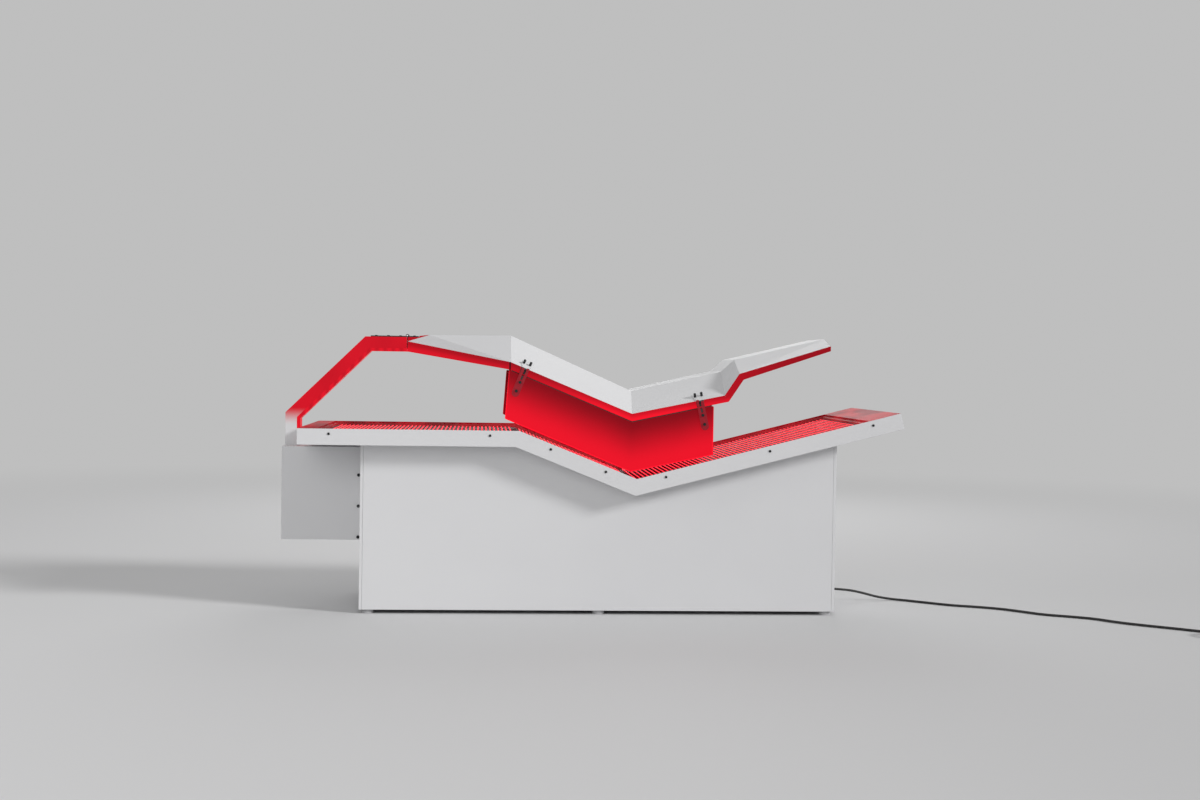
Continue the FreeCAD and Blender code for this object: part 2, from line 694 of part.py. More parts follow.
def fan_shapes(x):
    """Axial fan behind the far panel: square housing with a spindle, and a bladed rotor."""
    panel_y = value(CABINET_SIDE) - size("cabinet_sheet")
    depth = size("fan_depth")
    centre = Vector(x, panel_y - depth, size("fan_height"))
    side = size("fan_size")
    along = Vector(0, 1, 0)
    frame = Part.makeBox(side, depth, side, centre - Vector(side / 2, 0, side / 2))
    wall = size("fan_wall")
    bore = Part.makeCylinder(size("fan_bore_radius"), depth - wall, centre + along * wall, along)
    spoke_width = size("fan_hub_radius")
    window = Part.makeCylinder(size("fan_bore_radius"), wall, centre, along)
    spokes = Part.makeBox(side, wall, spoke_width, centre - Vector(side / 2, 0, spoke_width / 2))
    upright = Part.makeBox(spoke_width, wall, side, centre - Vector(spoke_width / 2, 0, side / 2))
    window = window.cut(spokes.fuse(upright))
    spindle_length = depth - 2 * wall
    spindle = Part.makeCylinder(size("fan_spindle_radius"), spindle_length, centre + along * wall, along)
    housing = frame.cut(bore).cut(window).fuse(spindle).removeSplitter()

    play = size("fan_play")
    start = centre + along * (wall + play)
    length = depth - 2 * wall - play
    hub = Part.makeCylinder(size("fan_hub_radius"), length, start, along)
    rotor = hub
    reach = size("fan_blade_radius")
    blades = int(size("fan_blades"))
    sheet_depth = size("fan_blade_sheet")
    for index in range(blades):
        blade = Part.makeBox(reach, sheet_depth, 2 * length, Vector(0, -sheet_depth / 2, -length))
        blade.rotate(Vector(0, 0, 0), Vector(1, 0, 0), size("fan_blade_pitch"))
        blade.translate(Vector(0, 0, length / 2))
        blade = blade.common(Part.makeCylinder(reach, length - 2, Vector(0, 0, 1)))
        blade.rotate(Vector(0, 0, 0), Vector(0, 0, 1), 360 / blades * index)
        seat = FreeCAD.Placement(start, FreeCAD.Rotation(Vector(0, 0, 1), along))
        blade.Placement = seat.multiply(blade.Placement)
        rotor = rotor.fuse(blade)
    hole_radius = size("fan_spindle_radius") + size("fan_spindle_gap")
    rotor = rotor.cut(Part.makeCylinder(hole_radius, spindle_length + play, centre + along * wall, along))
    return housing, rotor.removeSplitter()


def make_arm():
    """Foot column, C-shaped arm channel, its LED board and diffuser, and the stop pads."""
    top = "(sizes.deck_height - sizes.rim_depth - sizes.column_gap)"
    outline = rectangle(COLUMN_X, "sizes.column_low", "sizes.cabinet_foot_x", top)
    column = profile("foot_column", outline, "sizes.column_width")
    hollow = rectangle(
        f"{COLUMN_X} + sizes.column_sheet", "sizes.column_low + sizes.column_sheet",
        "sizes.cabinet_foot_x - sizes.column_sheet", f"{top} - sizes.column_sheet",
    )
    pocket(column, "column_hollow", "sizes.column_width - 2 * sizes.column_sheet", hollow)
    arm_reach = "(sizes.arm_depth + sizes.diffuser_thickness)"
    slot = rectangle(
        f"{ARM_X} - sizes.seat_gap", f"{top} - 2 * sizes.column_sheet",
        f"{ARM_X} + {arm_reach} + sizes.seat_gap", f"{top} + 1",
    )
    pocket(column, "arm_slot", "sizes.arm_width + 2 * sizes.seat_gap", slot)

    bolts = []
    for row in range(COLUMN_BOLT_ROWS):
        for side in (-1, 1):
            start = (
                "sizes.cabinet_foot_x - sizes.column_bolt_inset",
                f"{side} * sizes.column_width / 2",
                f"sizes.column_low + sizes.column_bolt_low + {row} * sizes.column_bolt_pitch",
            )
            radius, head = "sizes.column_bolt_radius", "sizes.column_bolt_head"
            bolts.append(rod(f"column_bolt_{len(bolts)}", radius, head, start, (0, side, 0)))
    group("column_bolts", bolts)

    shell = profile("arm_shell", folded_strip(ARM, "0", "sizes.arm_depth"), "sizes.arm_width")
    channel = folded_strip(ARM, "sizes.arm_wall", "sizes.arm_depth + 1", "sizes.arm_wall", "sizes.arm_cap")
    inside = "sizes.arm_width - 2 * sizes.arm_wall"
    pocket(shell, "arm_channel", inside, channel)

    low_trim = f"sizes.diffuser_low - {ARM_LOW}"
    board_width = f"{inside} - 2 * sizes.seat_gap"
    board_upper = "sizes.arm_depth - sizes.arm_board"
    end_trim = "sizes.arm_cap + sizes.seat_gap"
    board = folded_strip(ARM, board_upper, "sizes.arm_depth", low_trim, end_trim)
    profile("arm_board", board, board_width)
    outer = "sizes.arm_depth + sizes.diffuser_thickness"
    profile("arm_diffuser", folded_strip(ARM, "sizes.arm_depth", outer, low_trim), "sizes.arm_width")

    pads = []
    for side in (-1, 1):
        corner = (
            "sizes.arm_end_x",
            f"{side} * sizes.arm_width / 4 - sizes.stop_pad_size / 2",
            "sizes.arm_top - sizes.arm_depth + 2",
        )
        lengths = ("sizes.seam_gap", "sizes.stop_pad_size", "sizes.stop_pad_size")
        pads.append(block(f"stop_pad_{len(pads)}", lengths, corner))
    group("stop_pads", pads)


def make_hinge():
    """Butt hinge on top of the seam between the arm and the canopy."""
    radius = size("knuckle_radius")
    axis_x = size("arm_end_x") + size("seam_gap") / 2
    axis_z = size("arm_top") + radius + size("knuckle_lift")
    leaf_z = size("arm_top")
    width = size("leaf_width")
    middle = size("knuckle_middle")
    play = size("knuckle_play")
    thick = size("leaf_thickness")
    along = Vector(0, 1, 0)
    bore_radius = size("hinge_pin_radius") + size("hinge_pin_gap")

    def knuckle(low, high, toward):
        barrel = Part.makeCylinder(radius, high - low, Vector(axis_x, low, axis_z), along)
        reach = radius + 2 * size("knuckle_room")
        root = Part.makeBox(reach, high - low, thick)
        left = axis_x if toward > 0 else axis_x - reach
        root.translate(Vector(left, low, leaf_z))
        return barrel.fuse(root)

    def bored(shape):
        bore = Part.makeCylinder(bore_radius, width + 2, Vector(axis_x, -width / 2 - 1, axis_z), along)
        return shape.cut(bore).removeSplitter()

    clear = radius + size("knuckle_room")
    length = size("fixed_leaf_length")
    fixed = Part.makeBox(length, width, thick, Vector(axis_x - clear - length, -width / 2, leaf_z))
    edge = middle / 2 + play
    fixed = fixed.fuse(knuckle(-width / 2, -edge, -1)).fuse(knuckle(edge, width / 2, -1))
    feature("hinge_fixed_leaf", bored(fixed))
    length = size("moving_leaf_length")
    moving = Part.makeBox(length, width, thick, Vector(axis_x + clear, -width / 2, leaf_z))
    feature("hinge_moving_leaf", bored(moving.fuse(knuckle(-middle / 2, middle / 2, 1))))
    pin = Part.makeCylinder(size("hinge_pin_radius"), width, Vector(axis_x, -width / 2, axis_z), along)
    feature("hinge_pin", pin)

    axis = "(sizes.arm_end_x + sizes.seam_gap / 2)"
    clear = "(sizes.knuckle_radius + sizes.knuckle_room)"
    fixed = f"{axis} - {clear} - sizes.fixed_leaf_length"
    moving = f"{axis} + {clear} + sizes.moving_leaf_length"
    screws = {
        "hinge_arm_screws": [f"{fixed} * {share}" for share in FIXED_LEAF_SCREWS],
        "hinge_canopy_screws": [f"{moving} * {share}" for share in MOVING_LEAF_SCREWS],
    }
    radius, head = "sizes.hinge_screw_radius", "sizes.hinge_screw_head"
    for label, places in screws.items():
        heads = []
        for x in places:
            for side in (-1, 1):
                start = (x, f"{side} * sizes.leaf_width / 3", "sizes.arm_top + sizes.leaf_thickness")
                name = f"{label}_{len(heads)}"
                heads.append(rod(name, radius, head, start, (0, 0, 1)))
        group(label, heads)


def solid_from(faces):
    """Closed solid from flat faces, each a list of corners."""
    skins = [Part.Face(Part.makePolygon(corners + corners[:1])) for corners in faces]
    shell = Part.makeShell(skins)
    shell.sewShape()
    solid = Part.makeSolid(shell)
    if solid.Volume < 0:
        solid.reverse()
    return solid.removeSplitter()


def across(point):
    """The same point on the far side."""
    return Vector(point.x, -point.y, point.z)


def folded_hull(stations, rising):
    """Hull through (low, edge, ridge) corners of the near side, mirrored to the far side.

    rising tells for each span whether its facet is creased from the first edge to the next ridge.
    """
    faces = []
    for (low, edge, ridge), (low2, edge2, ridge2), crease in zip(stations, stations[1:], rising):
        if crease:
            facets = [[edge, edge2, ridge2], [edge, ridge2, ridge]]
        else:
            facets = [[edge, edge2, ridge], [edge2, ridge2, ridge]]
        side = [[low, low2, edge2, edge]] + facets
        faces += side + [[across(point) for point in reversed(face)] for face in side]
        faces.append([ridge, ridge2, across(ridge2), across(ridge)])
        faces.append([low2, low, across(low), across(low2)])
    for low, edge, ridge in (stations[0], stations[-1]):
        faces.append([low, edge, across(edge), across(low)])
        faces.append([edge, ridge, across(ridge), across(edge)])
    return solid_from(faces)


def folded_plate(points, half_widths, thickness):
    """Plate of even upright thickness over a folded line, mirrored about the middle."""
    faces = []
    lift = Vector(0, 0, thickness)
    lows = [Vector(x, -half, z) for (x, z), half in zip(points, half_widths)]
    for near, near2 in zip(lows, lows[1:]):
        faces.append([near, near2, near2 + lift, near + lift])
        faces.append([across(near2), across(near), across(near) + lift, across(near2) + lift])
        faces.append([near + lift, near2 + lift, across(near2) + lift, across(near) + lift])
        faces.append([near2, near, across(near), across(near2)])
    for near in (lows[0], lows[-1]):
        faces.append([near, near + lift, across(near) + lift, across(near)])
    return solid_from(faces)


def between(first, second, x):
    """Point at x on the line through two points."""
    return first + (second - first) * ((x - first.x) / (second.x - first.x))


def canopy_stations():
    """Near-side (low, edge, ridge) corners from the seam to the tip."""
    side = -size("canopy_width") / 2
    ridge_y = -size("ridge_width") / 2
    neck_y = -size("arm_width") / 2
    band = size("band_height")
    seam_x = value(SEAM_X)
    neck_low = size("arm_top") - size("arm_depth") - size("diffuser_thickness")
    seam = (
        Vector(seam_x, neck_y, neck_low),
        Vector(seam_x, neck_y, neck_low + size("neck_band")),
        Vector(seam_x, neck_y, size("arm_top")),
    )

    def upright(x, z, rise, setback):
        edge = Vector(x, side, z + band)
        return Vector(x, side, z), edge, Vector(x + setback, ridge_y, edge.z + rise)

    rise = size("shell_rise") + size("knee_lift")
    knee = upright(value(CANOPY_KNEE_X), value(CANOPY_KNEE_Z), rise, 0)
    rise, setback = size("valley_rise"), size("valley_setback")
    valley = upright(value(CANOPY_VALLEY_X), value(CANOPY_VALLEY_Z), rise, setback)

    wedge = station_at(seam, knee, value(LAND_X) + size("wedge_length"))
    wedge[2].z = size("arm_top") + size("wedge_lift")

    depth = "-sizes.band_height * cos(sizes.canopy_thigh_angle)"
    dx, dz = (value(part) for part in mitre("sizes.torso_angle", "sizes.riser_angle", depth))
    low = Vector(value(SHOULDER_X), side, value(SHOULDER_Z))
    edge = low + Vector(dx, 0, dz)
    ridge = Vector(edge.x + size("shoulder_setback"), ridge_y, edge.z + size("shoulder_rise"))
    shoulder = (low, edge, ridge)

    dx, dz = (value(part) for part in mitre("sizes.riser_angle", "sizes.head_angle", depth))
    low = Vector(value(CROWN_X), side, value(CROWN_Z))
    edge = low + Vector(dx, 0, dz)
    crown = (low, edge, Vector(edge.x, ridge_y, edge.z + size("crown_rise")))

    tip_x, tip_z = value(TIP_X), value(TIP_Z)
    tip_edge = tip_z + size("tip_band")
    tip = (
        Vector(tip_x, side, tip_z),
        Vector(tip_x, side, tip_edge),
        Vector(tip_x, ridge_y, tip_edge + size("tip_rise")),
    )
    return {
        "seam": seam, "wedge": wedge, "knee": knee, "valley": valley,
        "shoulder": shoulder, "crown": crown, "tip": tip,
    }


def inset(station):
    """Corners of a station's inside, one sheet in from the skin and open below."""
    wall = size("canopy_sheet")
    low, edge, ridge = station
    return (
        low + Vector(0, wall, -1),
        edge + Vector(0, wall, -0.55 * wall),
        ridge + Vector(0, 0.4 * wall, -wall),
    )


def station_at(first, second, x):
    """Station at x on the straight lines through two stations."""
    return tuple(between(one, two, x) for one, two in zip(first, second))


def past(first, second):
    """Station just past the second, on the straight lines from the first."""
    return tuple(two + (two - one).normalize() for one, two in zip(first, second))


def make_canopy(stations):
    """Three folded shells on a spine, with LED boards and diffusers in their undersides."""
    seam, wedge, knee, valley = (stations[name] for name in ("seam", "wedge", "knee", "valley"))
    shoulder, crown, tip = (stations[name] for name in ("shoulder", "crown", "tip"))
    cavity_start = wedge[0].x + size("neck_length")

    hollow = folded_hull([inset(station_at(wedge, knee, cavity_start)), inset(past(wedge, knee))], [False])
    land = value(LAND_X) - seam[0].x
    seat = Part.makeBox(land + 1, size("canopy_width"), size("shell_rise"))
    seat.translate(Vector(seam[0].x - 1, -size("canopy_width") / 2, size("arm_top")))
    leg = folded_hull([seam, wedge, knee], [True, False]).cut(seat).cut(hollow)
    feature("canopy_leg_shell", leg)

    inside = folded_hull([inset(past(valley, knee)), inset(past(knee, valley))], [False])
    feature("canopy_thigh_shell", folded_hull([knee, valley], [False]).cut(inside))

    first = inset(past(shoulder, valley))
    last_x = tip[0].x - size("canopy_sheet")
    inside = [first, inset(shoulder), inset(crown), inset(station_at(crown, tip, last_x))]
    last_low, last_edge, last_ridge = inside[-1]
    inside[-1] = (Vector(last_x, last_low.y, last_low.z), last_edge, last_ridge)
    creases = [True, True, True]
    outer = folded_hull([valley, shoulder, crown, tip], creases)
    feature("canopy_head_shell", outer.cut(folded_hull(inside, creases)))

    wall = size("canopy_sheet")
    spine_drop = wall + size("seat_gap") + size("spine_depth")
    ridge_points = []
    for ridge in (between(wedge[2], knee[2], cavity_start), knee[2], valley[2], shoulder[2]):
        ridge_points.append((ridge.x, ridge.z - spine_drop))
    half = size("spine_width") / 2
    feature("canopy_spine", folded_plate(ridge_points, [half] * 4, size("spine_depth")))

    flare = math.atan2(seam[0].y - knee[0].y, knee[0].x - seam[0].x)
    margin = (wall + size("seat_gap")) / math.cos(flare)
    straight = -knee[0].y - wall - size("seat_gap")
    joint = size("board_joint")
    leg_start = between(seam[0], knee[0], cavity_start + joint)
    leg_end = between(seam[0], knee[0], knee[0].x - joint / 2)
    thigh_ends = [between(knee[0], valley[0], x) for x in (knee[0].x + joint / 2, valley[0].x - joint / 2)]
    torso_start = between(valley[0], shoulder[0], valley[0].x + joint / 2)
    tip_end = between(crown[0], tip[0], last_x - joint)
    plates = {
        "leg": ([leg_start, leg_end], [-leg_start.y - margin, -leg_end.y - margin]),
        "thigh": (thigh_ends, [straight] * 2),
        "head": ([torso_start, shoulder[0], crown[0], tip_end], [straight] * 4),
    }
    lift = size("canopy_diffuser_lift")
    thick = size("canopy_diffuser")
    for name, (lows, halves) in plates.items():
        points = [(low.x, low.z + lift) for low in lows]
        feature(f"canopy_{name}_diffuser", folded_plate(points, halves, thick))
        points = [(low.x, low.z + lift + thick) for low in lows]
        feature(f"canopy_{name}_board", folded_plate(points, halves, size("canopy_board")))


def make_side_panels():
    """Chevron panels that hang from the canopy's long edges down to just above the deck."""
    dx, dz = mitre("-sizes.canopy_thigh_angle", "sizes.torso_angle", "sizes.panel_gap")
    upper = (f"({CANOPY_VALLEY_X} + {dx})", f"({CANOPY_VALLEY_Z} + {dz})")
    lower = (f"({VALLEY_X} - sizes.panel_valley_shift)", f"({VALLEY_Z} + sizes.panel_clearance)")
    left = f"({CANOPY_KNEE_X} - sizes.panel_foot_overhang)"
    left_low = f"({left} - sizes.panel_foot_flare)"
    right = f"({SHOULDER_X} - sizes.panel_head_inset)"

    def on_thigh(fold, x):
        return (x, f"{fold[1]} + ({fold[0]} - {x}) * tan(sizes.canopy_thigh_angle)")

    def on_torso(fold, x):
        return (x, f"{fold[1]} + ({x} - {fold[0]}) * tan(sizes.torso_angle)")

    outline = [
        on_thigh(upper, left), upper, on_torso(upper, right),
        on_torso(lower, right), lower, on_thigh(lower, left_low),
    ]
    middle = f"({CANOPY_SIDE} + sizes.panel_stand_off + sizes.panel_sheet / 2)"
    for name, side in (("near", "-"), ("far", "")):
        panel = profile(f"{name}_side_panel", outline, "sizes.panel_sheet", f"{side}{middle}")
        corners = []
        for number, edge in enumerate(panel.Shape.Edges, start=1):
            centre = edge.CenterOfMass
            at_end = centre.x < value(left) + 5 or centre.x > value(right) - 5
            if abs(edge.tangentAt(edge.FirstParameter).y) > 0.99 and at_end:
                corners.append(f"Edge{number}")
        pad = panel.Tip
        fillet = panel.newObject("PartDesign::Fillet", f"{name}_side_panel_corners")
        fillet.Base = (pad, corners)
        fillet.setExpression("Radius", "sizes.panel_corner")
        document.recompute()


def strap_frames(stations):
    """Pivot, edge direction and downward direction of the two straps on the near side."""
    knee, valley, shoulder = stations["knee"], stations["valley"], stations["shoulder"]
    strap_face = knee[0].y - size("panel_stand_off") - size("panel_sheet") - size("strap_sheet")
    axis_y = strap_face + size("strap_barrel_radius") - size("strap_barrel_proud")
    frames = []
    for first, second, steady, x in (
        (knee, valley, knee, knee[0].x + size("foot_strap_inset")),
        (valley, shoulder, shoulder, shoulder[0].x - size("head_strap_inset")),
    ):
        low = between(first[0], second[0], x)
        edge = between(first[1], second[1], x)
        rise = low + (edge - low) * STRAP_PIVOT_RISE
        run = (second[1] - first[1]).normalize()
        down = Vector(run.z, 0, -run.x)
        facet = steady[2] - steady[1]
        facet = (facet - run * facet.dot(run)).normalize()
        frames.append((Vector(x, axis_y, rise.z), run, down, edge, facet))
    return frames


def section_bar(start, run, section, width):
    """Bar of the given width along run, from a closed section at its middle."""
    corners = [start + corner - run * (width / 2) for corner in section]
    return Part.Face(Part.makePolygon(corners + corners[:1])).extrude(run * width)


def make_straps(stations):
    """Strap hinges between the canopy's edge and each side panel."""
    frames = strap_frames(stations)
    axis = (frames[1][0] - frames[0][0]).normalize()
    fall = Vector(axis.z, 0, -axis.x)
    radius = size("strap_barrel_radius")
    middle = size("strap_barrel_middle")
    slot_half = middle / 2 + size("strap_barrel_play")
    half = size("strap_plate_width") / 2
    width = size("strap_width")
    thick = size("strap_sheet")
    outward = Vector(0, -1, 0)
    side = -size("canopy_width") / 2
    panel_face = side - size("panel_stand_off") - size("panel_sheet")
    bore_radius = size("strap_pin_radius") + size("strap_pin_gap")
    leaves, straps, pins, bolts, screws = [], [], [], [], []

    for pivot, run, down, edge, facet in frames:
        def barrel(reach, low, high):
            return Part.makeCylinder(reach, high - low, pivot + axis * low, axis)

        bore = barrel(bore_radius, -width, width)
        skin = facet.cross(run).normalize()
        if skin.z < 0:
            skin = skin * -1
        flange = down * size("strap_flange")
        bend = edge + skin * thick
        bend = bend + facet * ((side - thick - bend.y) / facet.y)
        tab = facet * size("strap_tab")
        section = [
            Vector(0, 0, 0), tab, tab + skin * thick, bend - edge, outward * thick + flange, flange,
        ]
        leaf = section_bar(edge, run, section, 2 * half)
        section = [tab * STRAP_TAB_START, tab, tab + skin * thick, tab * STRAP_TAB_START + skin * thick]
        leaf = leaf.fuse(section_bar(edge, run, section, width))
        inward = outward * (pivot.y - side)
        web = [inward - fall * (thick / 2), inward + fall * (thick / 2), fall * (thick / 2), fall * (-thick / 2)]
        leaf = leaf.fuse(section_bar(pivot, axis, web, middle)).fuse(barrel(radius, -middle / 2, middle / 2))
        leaves.append(leaf.cut(bore).removeSplitter())

        base = Vector(pivot.x, panel_face, pivot.z)
        reach = size("strap_length") - half
        corners = [
            base - axis * half, base + axis * half,
            base + run * half + down * reach, base + down * (reach + half), base - run * half + down * reach,
        ]
        rim = [
            Part.LineSegment(corners[0], corners[1]).toShape(),
            Part.LineSegment(corners[1], corners[2]).toShape(),
            Part.Arc(corners[2], corners[3], corners[4]).toShape(),
            Part.LineSegment(corners[4], corners[0]).toShape(),
        ]
        strap = Part.Face(Part.Wire(rim)).extrude(outward * thick)
        for low, high in ((-half, -slot_half), (slot_half, half)):
            strap = strap.fuse(barrel(radius, low, high))
        slot_end = base + down * (size("strap_slot_end") - slot_half) - outward * (2 * thick)
        slot_top = base - fall * (2 * thick) - outward * (2 * thick)
        throat = base + fall * (2 * thick) - outward * (2 * thick)
        mouth = [
            slot_top - axis * slot_half, slot_top + axis * slot_half, throat + axis * slot_half,
            slot_end + run * slot_half, slot_end - run * slot_half, throat - axis * slot_half,
        ]
        slot = Part.Face(Part.makePolygon(mouth + mouth[:1])).extrude(outward * (4 * thick))
        slot = slot.fuse(Part.makeCylinder(slot_half, 4 * thick, slot_end, outward))
        straps.append(strap.cut(slot).cut(bore).removeSplitter())
        pins.append(barrel(size("strap_pin_radius"), -half, half))

        head = size("strap_bolt_head")
        for place in ("strap_bolt_first", "strap_bolt_second"):
            start = base + down * size(place) + outward * thick
            bolts.append(Part.makeCylinder(size("strap_bolt_radius"), head, start, outward))
        screw_line = edge + facet * (size("strap_tab") * STRAP_SCREW_RISE) + skin * thick
        for share in STRAP_SCREWS:
            start = screw_line + run * (width * share)
            height = size("strap_screw_head")
            screws.append(Part.makeCylinder(size("strap_screw_radius"), height, start, skin))

    for label, shapes in (("strap_leaves", leaves), ("strap_pins", pins), ("strap_screws", screws)):
        feature(label, Part.makeCompound(shapes + [mirrored(shape) for shape in shapes]))
    for label, shapes in (("straps", straps), ("strap_bolts", bolts)):
        feature(f"near_{label}", Part.makeCompound(shapes))
        feature(f"far_{label}", Part.makeCompound([mirrored(shape) for shape in shapes]))
    print("strap axis through", [tuple(round(v, 3) for v in frame[0]) for frame in frames])


def rounded_route(points):
    """Straight runs joined by tangent arcs as large as their runs allow."""
    corners = [Vector(*point) for point in points]
    edges = []
    radii = []
    last = corners[0]
    for before, corner, after in zip(corners, corners[1:], corners[2:]):
        arrive = corner - before
        leave = after - corner
        turn = arrive.getAngle(leave)
        reach = ARC_SHARE * min(arrive.Length, leave.Length)
        radii.append(reach / math.tan(turn / 2))
        arrive.normalize()
        leave.normalize()
        start = corner - arrive * reach
        end = corner + leave * reach
        inward = (leave - arrive).normalize()
        bulge = corner + inward * (radii[-1] / math.cos(turn / 2) - radii[-1])
        edges.append(Part.LineSegment(last, start).toShape())
        edges.append(Part.Arc(start, bulge, end).toShape())
        last = end
    edges.append(Part.LineSegment(last, corners[-1]).toShape())
    return Part.Wire(edges), radii


def make_cord():
    """Mains cord over the floor, its put-away coil and its plug."""
    diameter = size("cord_diameter")
    gland_end = Vector(
        value(CABINET_HEAD_X) + size("gland_nut_length") + size("gland_tail_length"),
        size("gland_y"), size("gland_height"),
    )
    route = [tuple(gland_end)] + list(CORD_ROUTE[1:])
    path, radii = rounded_route(route)
    print("cord radii", [round(radius) for radius in radii])
    start = Part.Wire(Part.makeCircle(diameter / 2, gland_end, Vector(1, 0, 0)))
    tube = path.makePipeShell([start], True, False)
    ideal = math.pi * diameter ** 2 / 4 * path.Length
    print("cord length", round(path.Length), "volume ratio", round(tube.Volume / ideal, 4))
    feature("cord_tube", tube)

    last, end = Vector(*CORD_ROUTE[-2]), Vector(*CORD_ROUTE[-1])
    heading = (end - last).normalize()
    aside = Vector(heading.y, -heading.x, 0)
    outer_turn = size("coil_radius") + diameter / 2
    centre = Vector(end.x, end.y, 0) + aside * outer_turn
    outer = size("coil_radius") + diameter
    inner = size("coil_radius") - diameter
    height = size("coil_height")
    ring = Part.makeCylinder(outer, height, centre)
    feature("cord_coil", ring.cut(Part.makeCylinder(inner, height, centre)))
    print("coil centre", tuple(round(v, 1) for v in centre))

    length, width, height = size("plug_length"), size("plug_width"), size("plug_height")
    clear = math.sqrt(outer ** 2 - (outer_turn - width / 2) ** 2) + size("seat_gap")
    back = centre + Vector(outer_turn, -clear, 0)
    feature("plug_body", Part.makeBox(width, length, height, back - Vector(width / 2, length, 0)))
    pins = []
    pin_length, pin_width, pin_sheet = size("plug_pin_length"), size("plug_pin_width"), size("plug_pin_sheet")
    for side in (-1, 1):
        corner = back + Vector(
            side * size("plug_pin_spread") / 2 - pin_sheet / 2, -length - pin_length, (height - pin_width) / 2
        )
        pins.append(Part.makeBox(pin_sheet, pin_length, pin_width, corner))
    feature("plug_pins", Part.makeCompound(pins))


def write_parts():
    """Checks every object, then writes each sub-part's file."""
    document.recompute()
    for thing in document.Objects:
        if {"Invalid", "Error"} & set(thing.State):
            raise RuntimeError(f"{thing.Label} failed: {thing.State}")
    for node in NODES:
        if node.Shape.isNull() or not node.Shape.isValid() or not node.Shape.Solids:
            raise RuntimeError(f"{node.Label} has no valid shape")
    os.makedirs("parts", exist_ok=True)
    for node in NODES:
        node.Shape.exportStep(f"parts/{node.Label}.step")
    print(len(NODES), "sub-parts")


make_deck()
make_cabinet()
make_electrics()
make_arm()
make_hinge()
STATIONS = canopy_stations()
make_canopy(STATIONS)
make_side_panels()
make_straps(STATIONS)
make_cord()
write_parts()
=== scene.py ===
"""Looks of the red light therapy bed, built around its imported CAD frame.

Metres. +X points to the head end, +Y to the far side and +Z up, as in the CAD model.
"""

import json
import math

import bmesh
import bpy
from mathutils import Matrix, Vector


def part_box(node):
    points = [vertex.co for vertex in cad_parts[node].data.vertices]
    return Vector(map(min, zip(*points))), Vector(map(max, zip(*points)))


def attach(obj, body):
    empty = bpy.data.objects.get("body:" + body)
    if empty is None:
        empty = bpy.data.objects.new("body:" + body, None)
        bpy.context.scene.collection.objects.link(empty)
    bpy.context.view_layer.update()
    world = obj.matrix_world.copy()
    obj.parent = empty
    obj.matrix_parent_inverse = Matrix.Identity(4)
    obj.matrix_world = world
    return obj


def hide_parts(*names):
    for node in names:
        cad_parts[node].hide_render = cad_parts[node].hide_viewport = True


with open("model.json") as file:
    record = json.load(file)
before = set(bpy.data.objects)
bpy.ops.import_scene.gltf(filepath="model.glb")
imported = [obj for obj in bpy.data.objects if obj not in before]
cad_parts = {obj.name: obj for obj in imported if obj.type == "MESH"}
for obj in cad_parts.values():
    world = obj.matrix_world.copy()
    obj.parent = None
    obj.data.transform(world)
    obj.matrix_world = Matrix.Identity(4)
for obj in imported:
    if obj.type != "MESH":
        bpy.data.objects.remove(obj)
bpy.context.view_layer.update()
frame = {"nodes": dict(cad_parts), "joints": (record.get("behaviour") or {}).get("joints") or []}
NODES = frame["nodes"]
scene = bpy.context.scene
scene.view_settings.view_transform = "Standard"

# Colours, linear
WHITE = (1.0, 1.0, 1.0, 1.0)
WHITE_PAINT = (0.70, 0.70, 0.71, 1.0)
PALE_PAINT = (0.63, 0.63, 0.645, 1.0)
LIT_RED = (1.0, 0.006, 0.022, 1.0)
HOT_RED = (1.0, 0.035, 0.06, 1.0)
DEEP_RED = (0.07, 0.003, 0.006, 1.0)
BLACK = (0.018, 0.018, 0.02, 1.0)
PALE_FLOOR = (0.66, 0.66, 0.665, 1.0)

# The part of a noise's range that the materials use, and how deep a fine texture is
NOISE_LOW = 0.3
NOISE_HIGH = 0.7
FINE_RELIEF = 0.0001

# Studio: how bright its background is seen, and how much it lights the object
BACKGROUND_LEVEL = 0.52
STUDIO_LIGHT = 0.32

# Camera: where it stood, and how it was turned
CAMERA_PLACE = (-0.395, -6.250, 0.886)
CAMERA_YAW = math.radians(4.1)
CAMERA_PITCH = math.radians(1.14)
CAMERA_ROLL = math.radians(0.85)
CAMERA_LENS = 50.0
CAMERA_SENSOR = 36.0

# Mains cord: the route from the gland to the coil, as in the CAD model
CORD_DIAMETER = 0.009
CORD_ROUTE = [
    (0.937, 0.045, 0.050),
    (0.985, 0.048, 0.047),
    (1.036, 0.060, 0.041),
    (1.087, 0.074, 0.029),
    (1.136, 0.084, 0.015),
    (1.190, 0.080, 0.006),
    (1.254, 0.044, 0.005),
    (1.320, -0.018, 0.005),
    (1.394, -0.082, 0.005),
    (1.472, -0.116, 0.005),
    (1.553, -0.166, 0.005),
    (1.612, -0.236, 0.005),
    (1.668, -0.310, 0.005),
    (1.748, -0.352, 0.005),
    (1.826, -0.406, 0.005),
    (1.874, -0.486, 0.005),
    (1.946, -0.556, 0.005),
    (2.022, -0.618, 0.005),
    (2.098, -0.688, 0.005),
]

# The cord's coil: its middle, its winding in degrees, and the radii and heights of its lanes
COIL_CENTRE = Vector((2.1378, -0.7889, 0.0))
COIL_ENTRY = 53.9
COIL_SWEEP = 4 * 360.0 + COIL_ENTRY
COIL_STEP = 15.0
COIL_OUTER = 0.058
COIL_INNER = 0.049
COIL_LOW = 0.0046
COIL_HIGH = 0.0137
COIL_TOP = 0.0228

# Degrees of winding over which the cord changes from lane to lane
COIL_INWARD = 250.0, 355.0
COIL_UPWARD = 600.0, 715.0
COIL_OUTWARD = 965.0, 1070.0
COIL_OVER = 1220.0, 1330.0

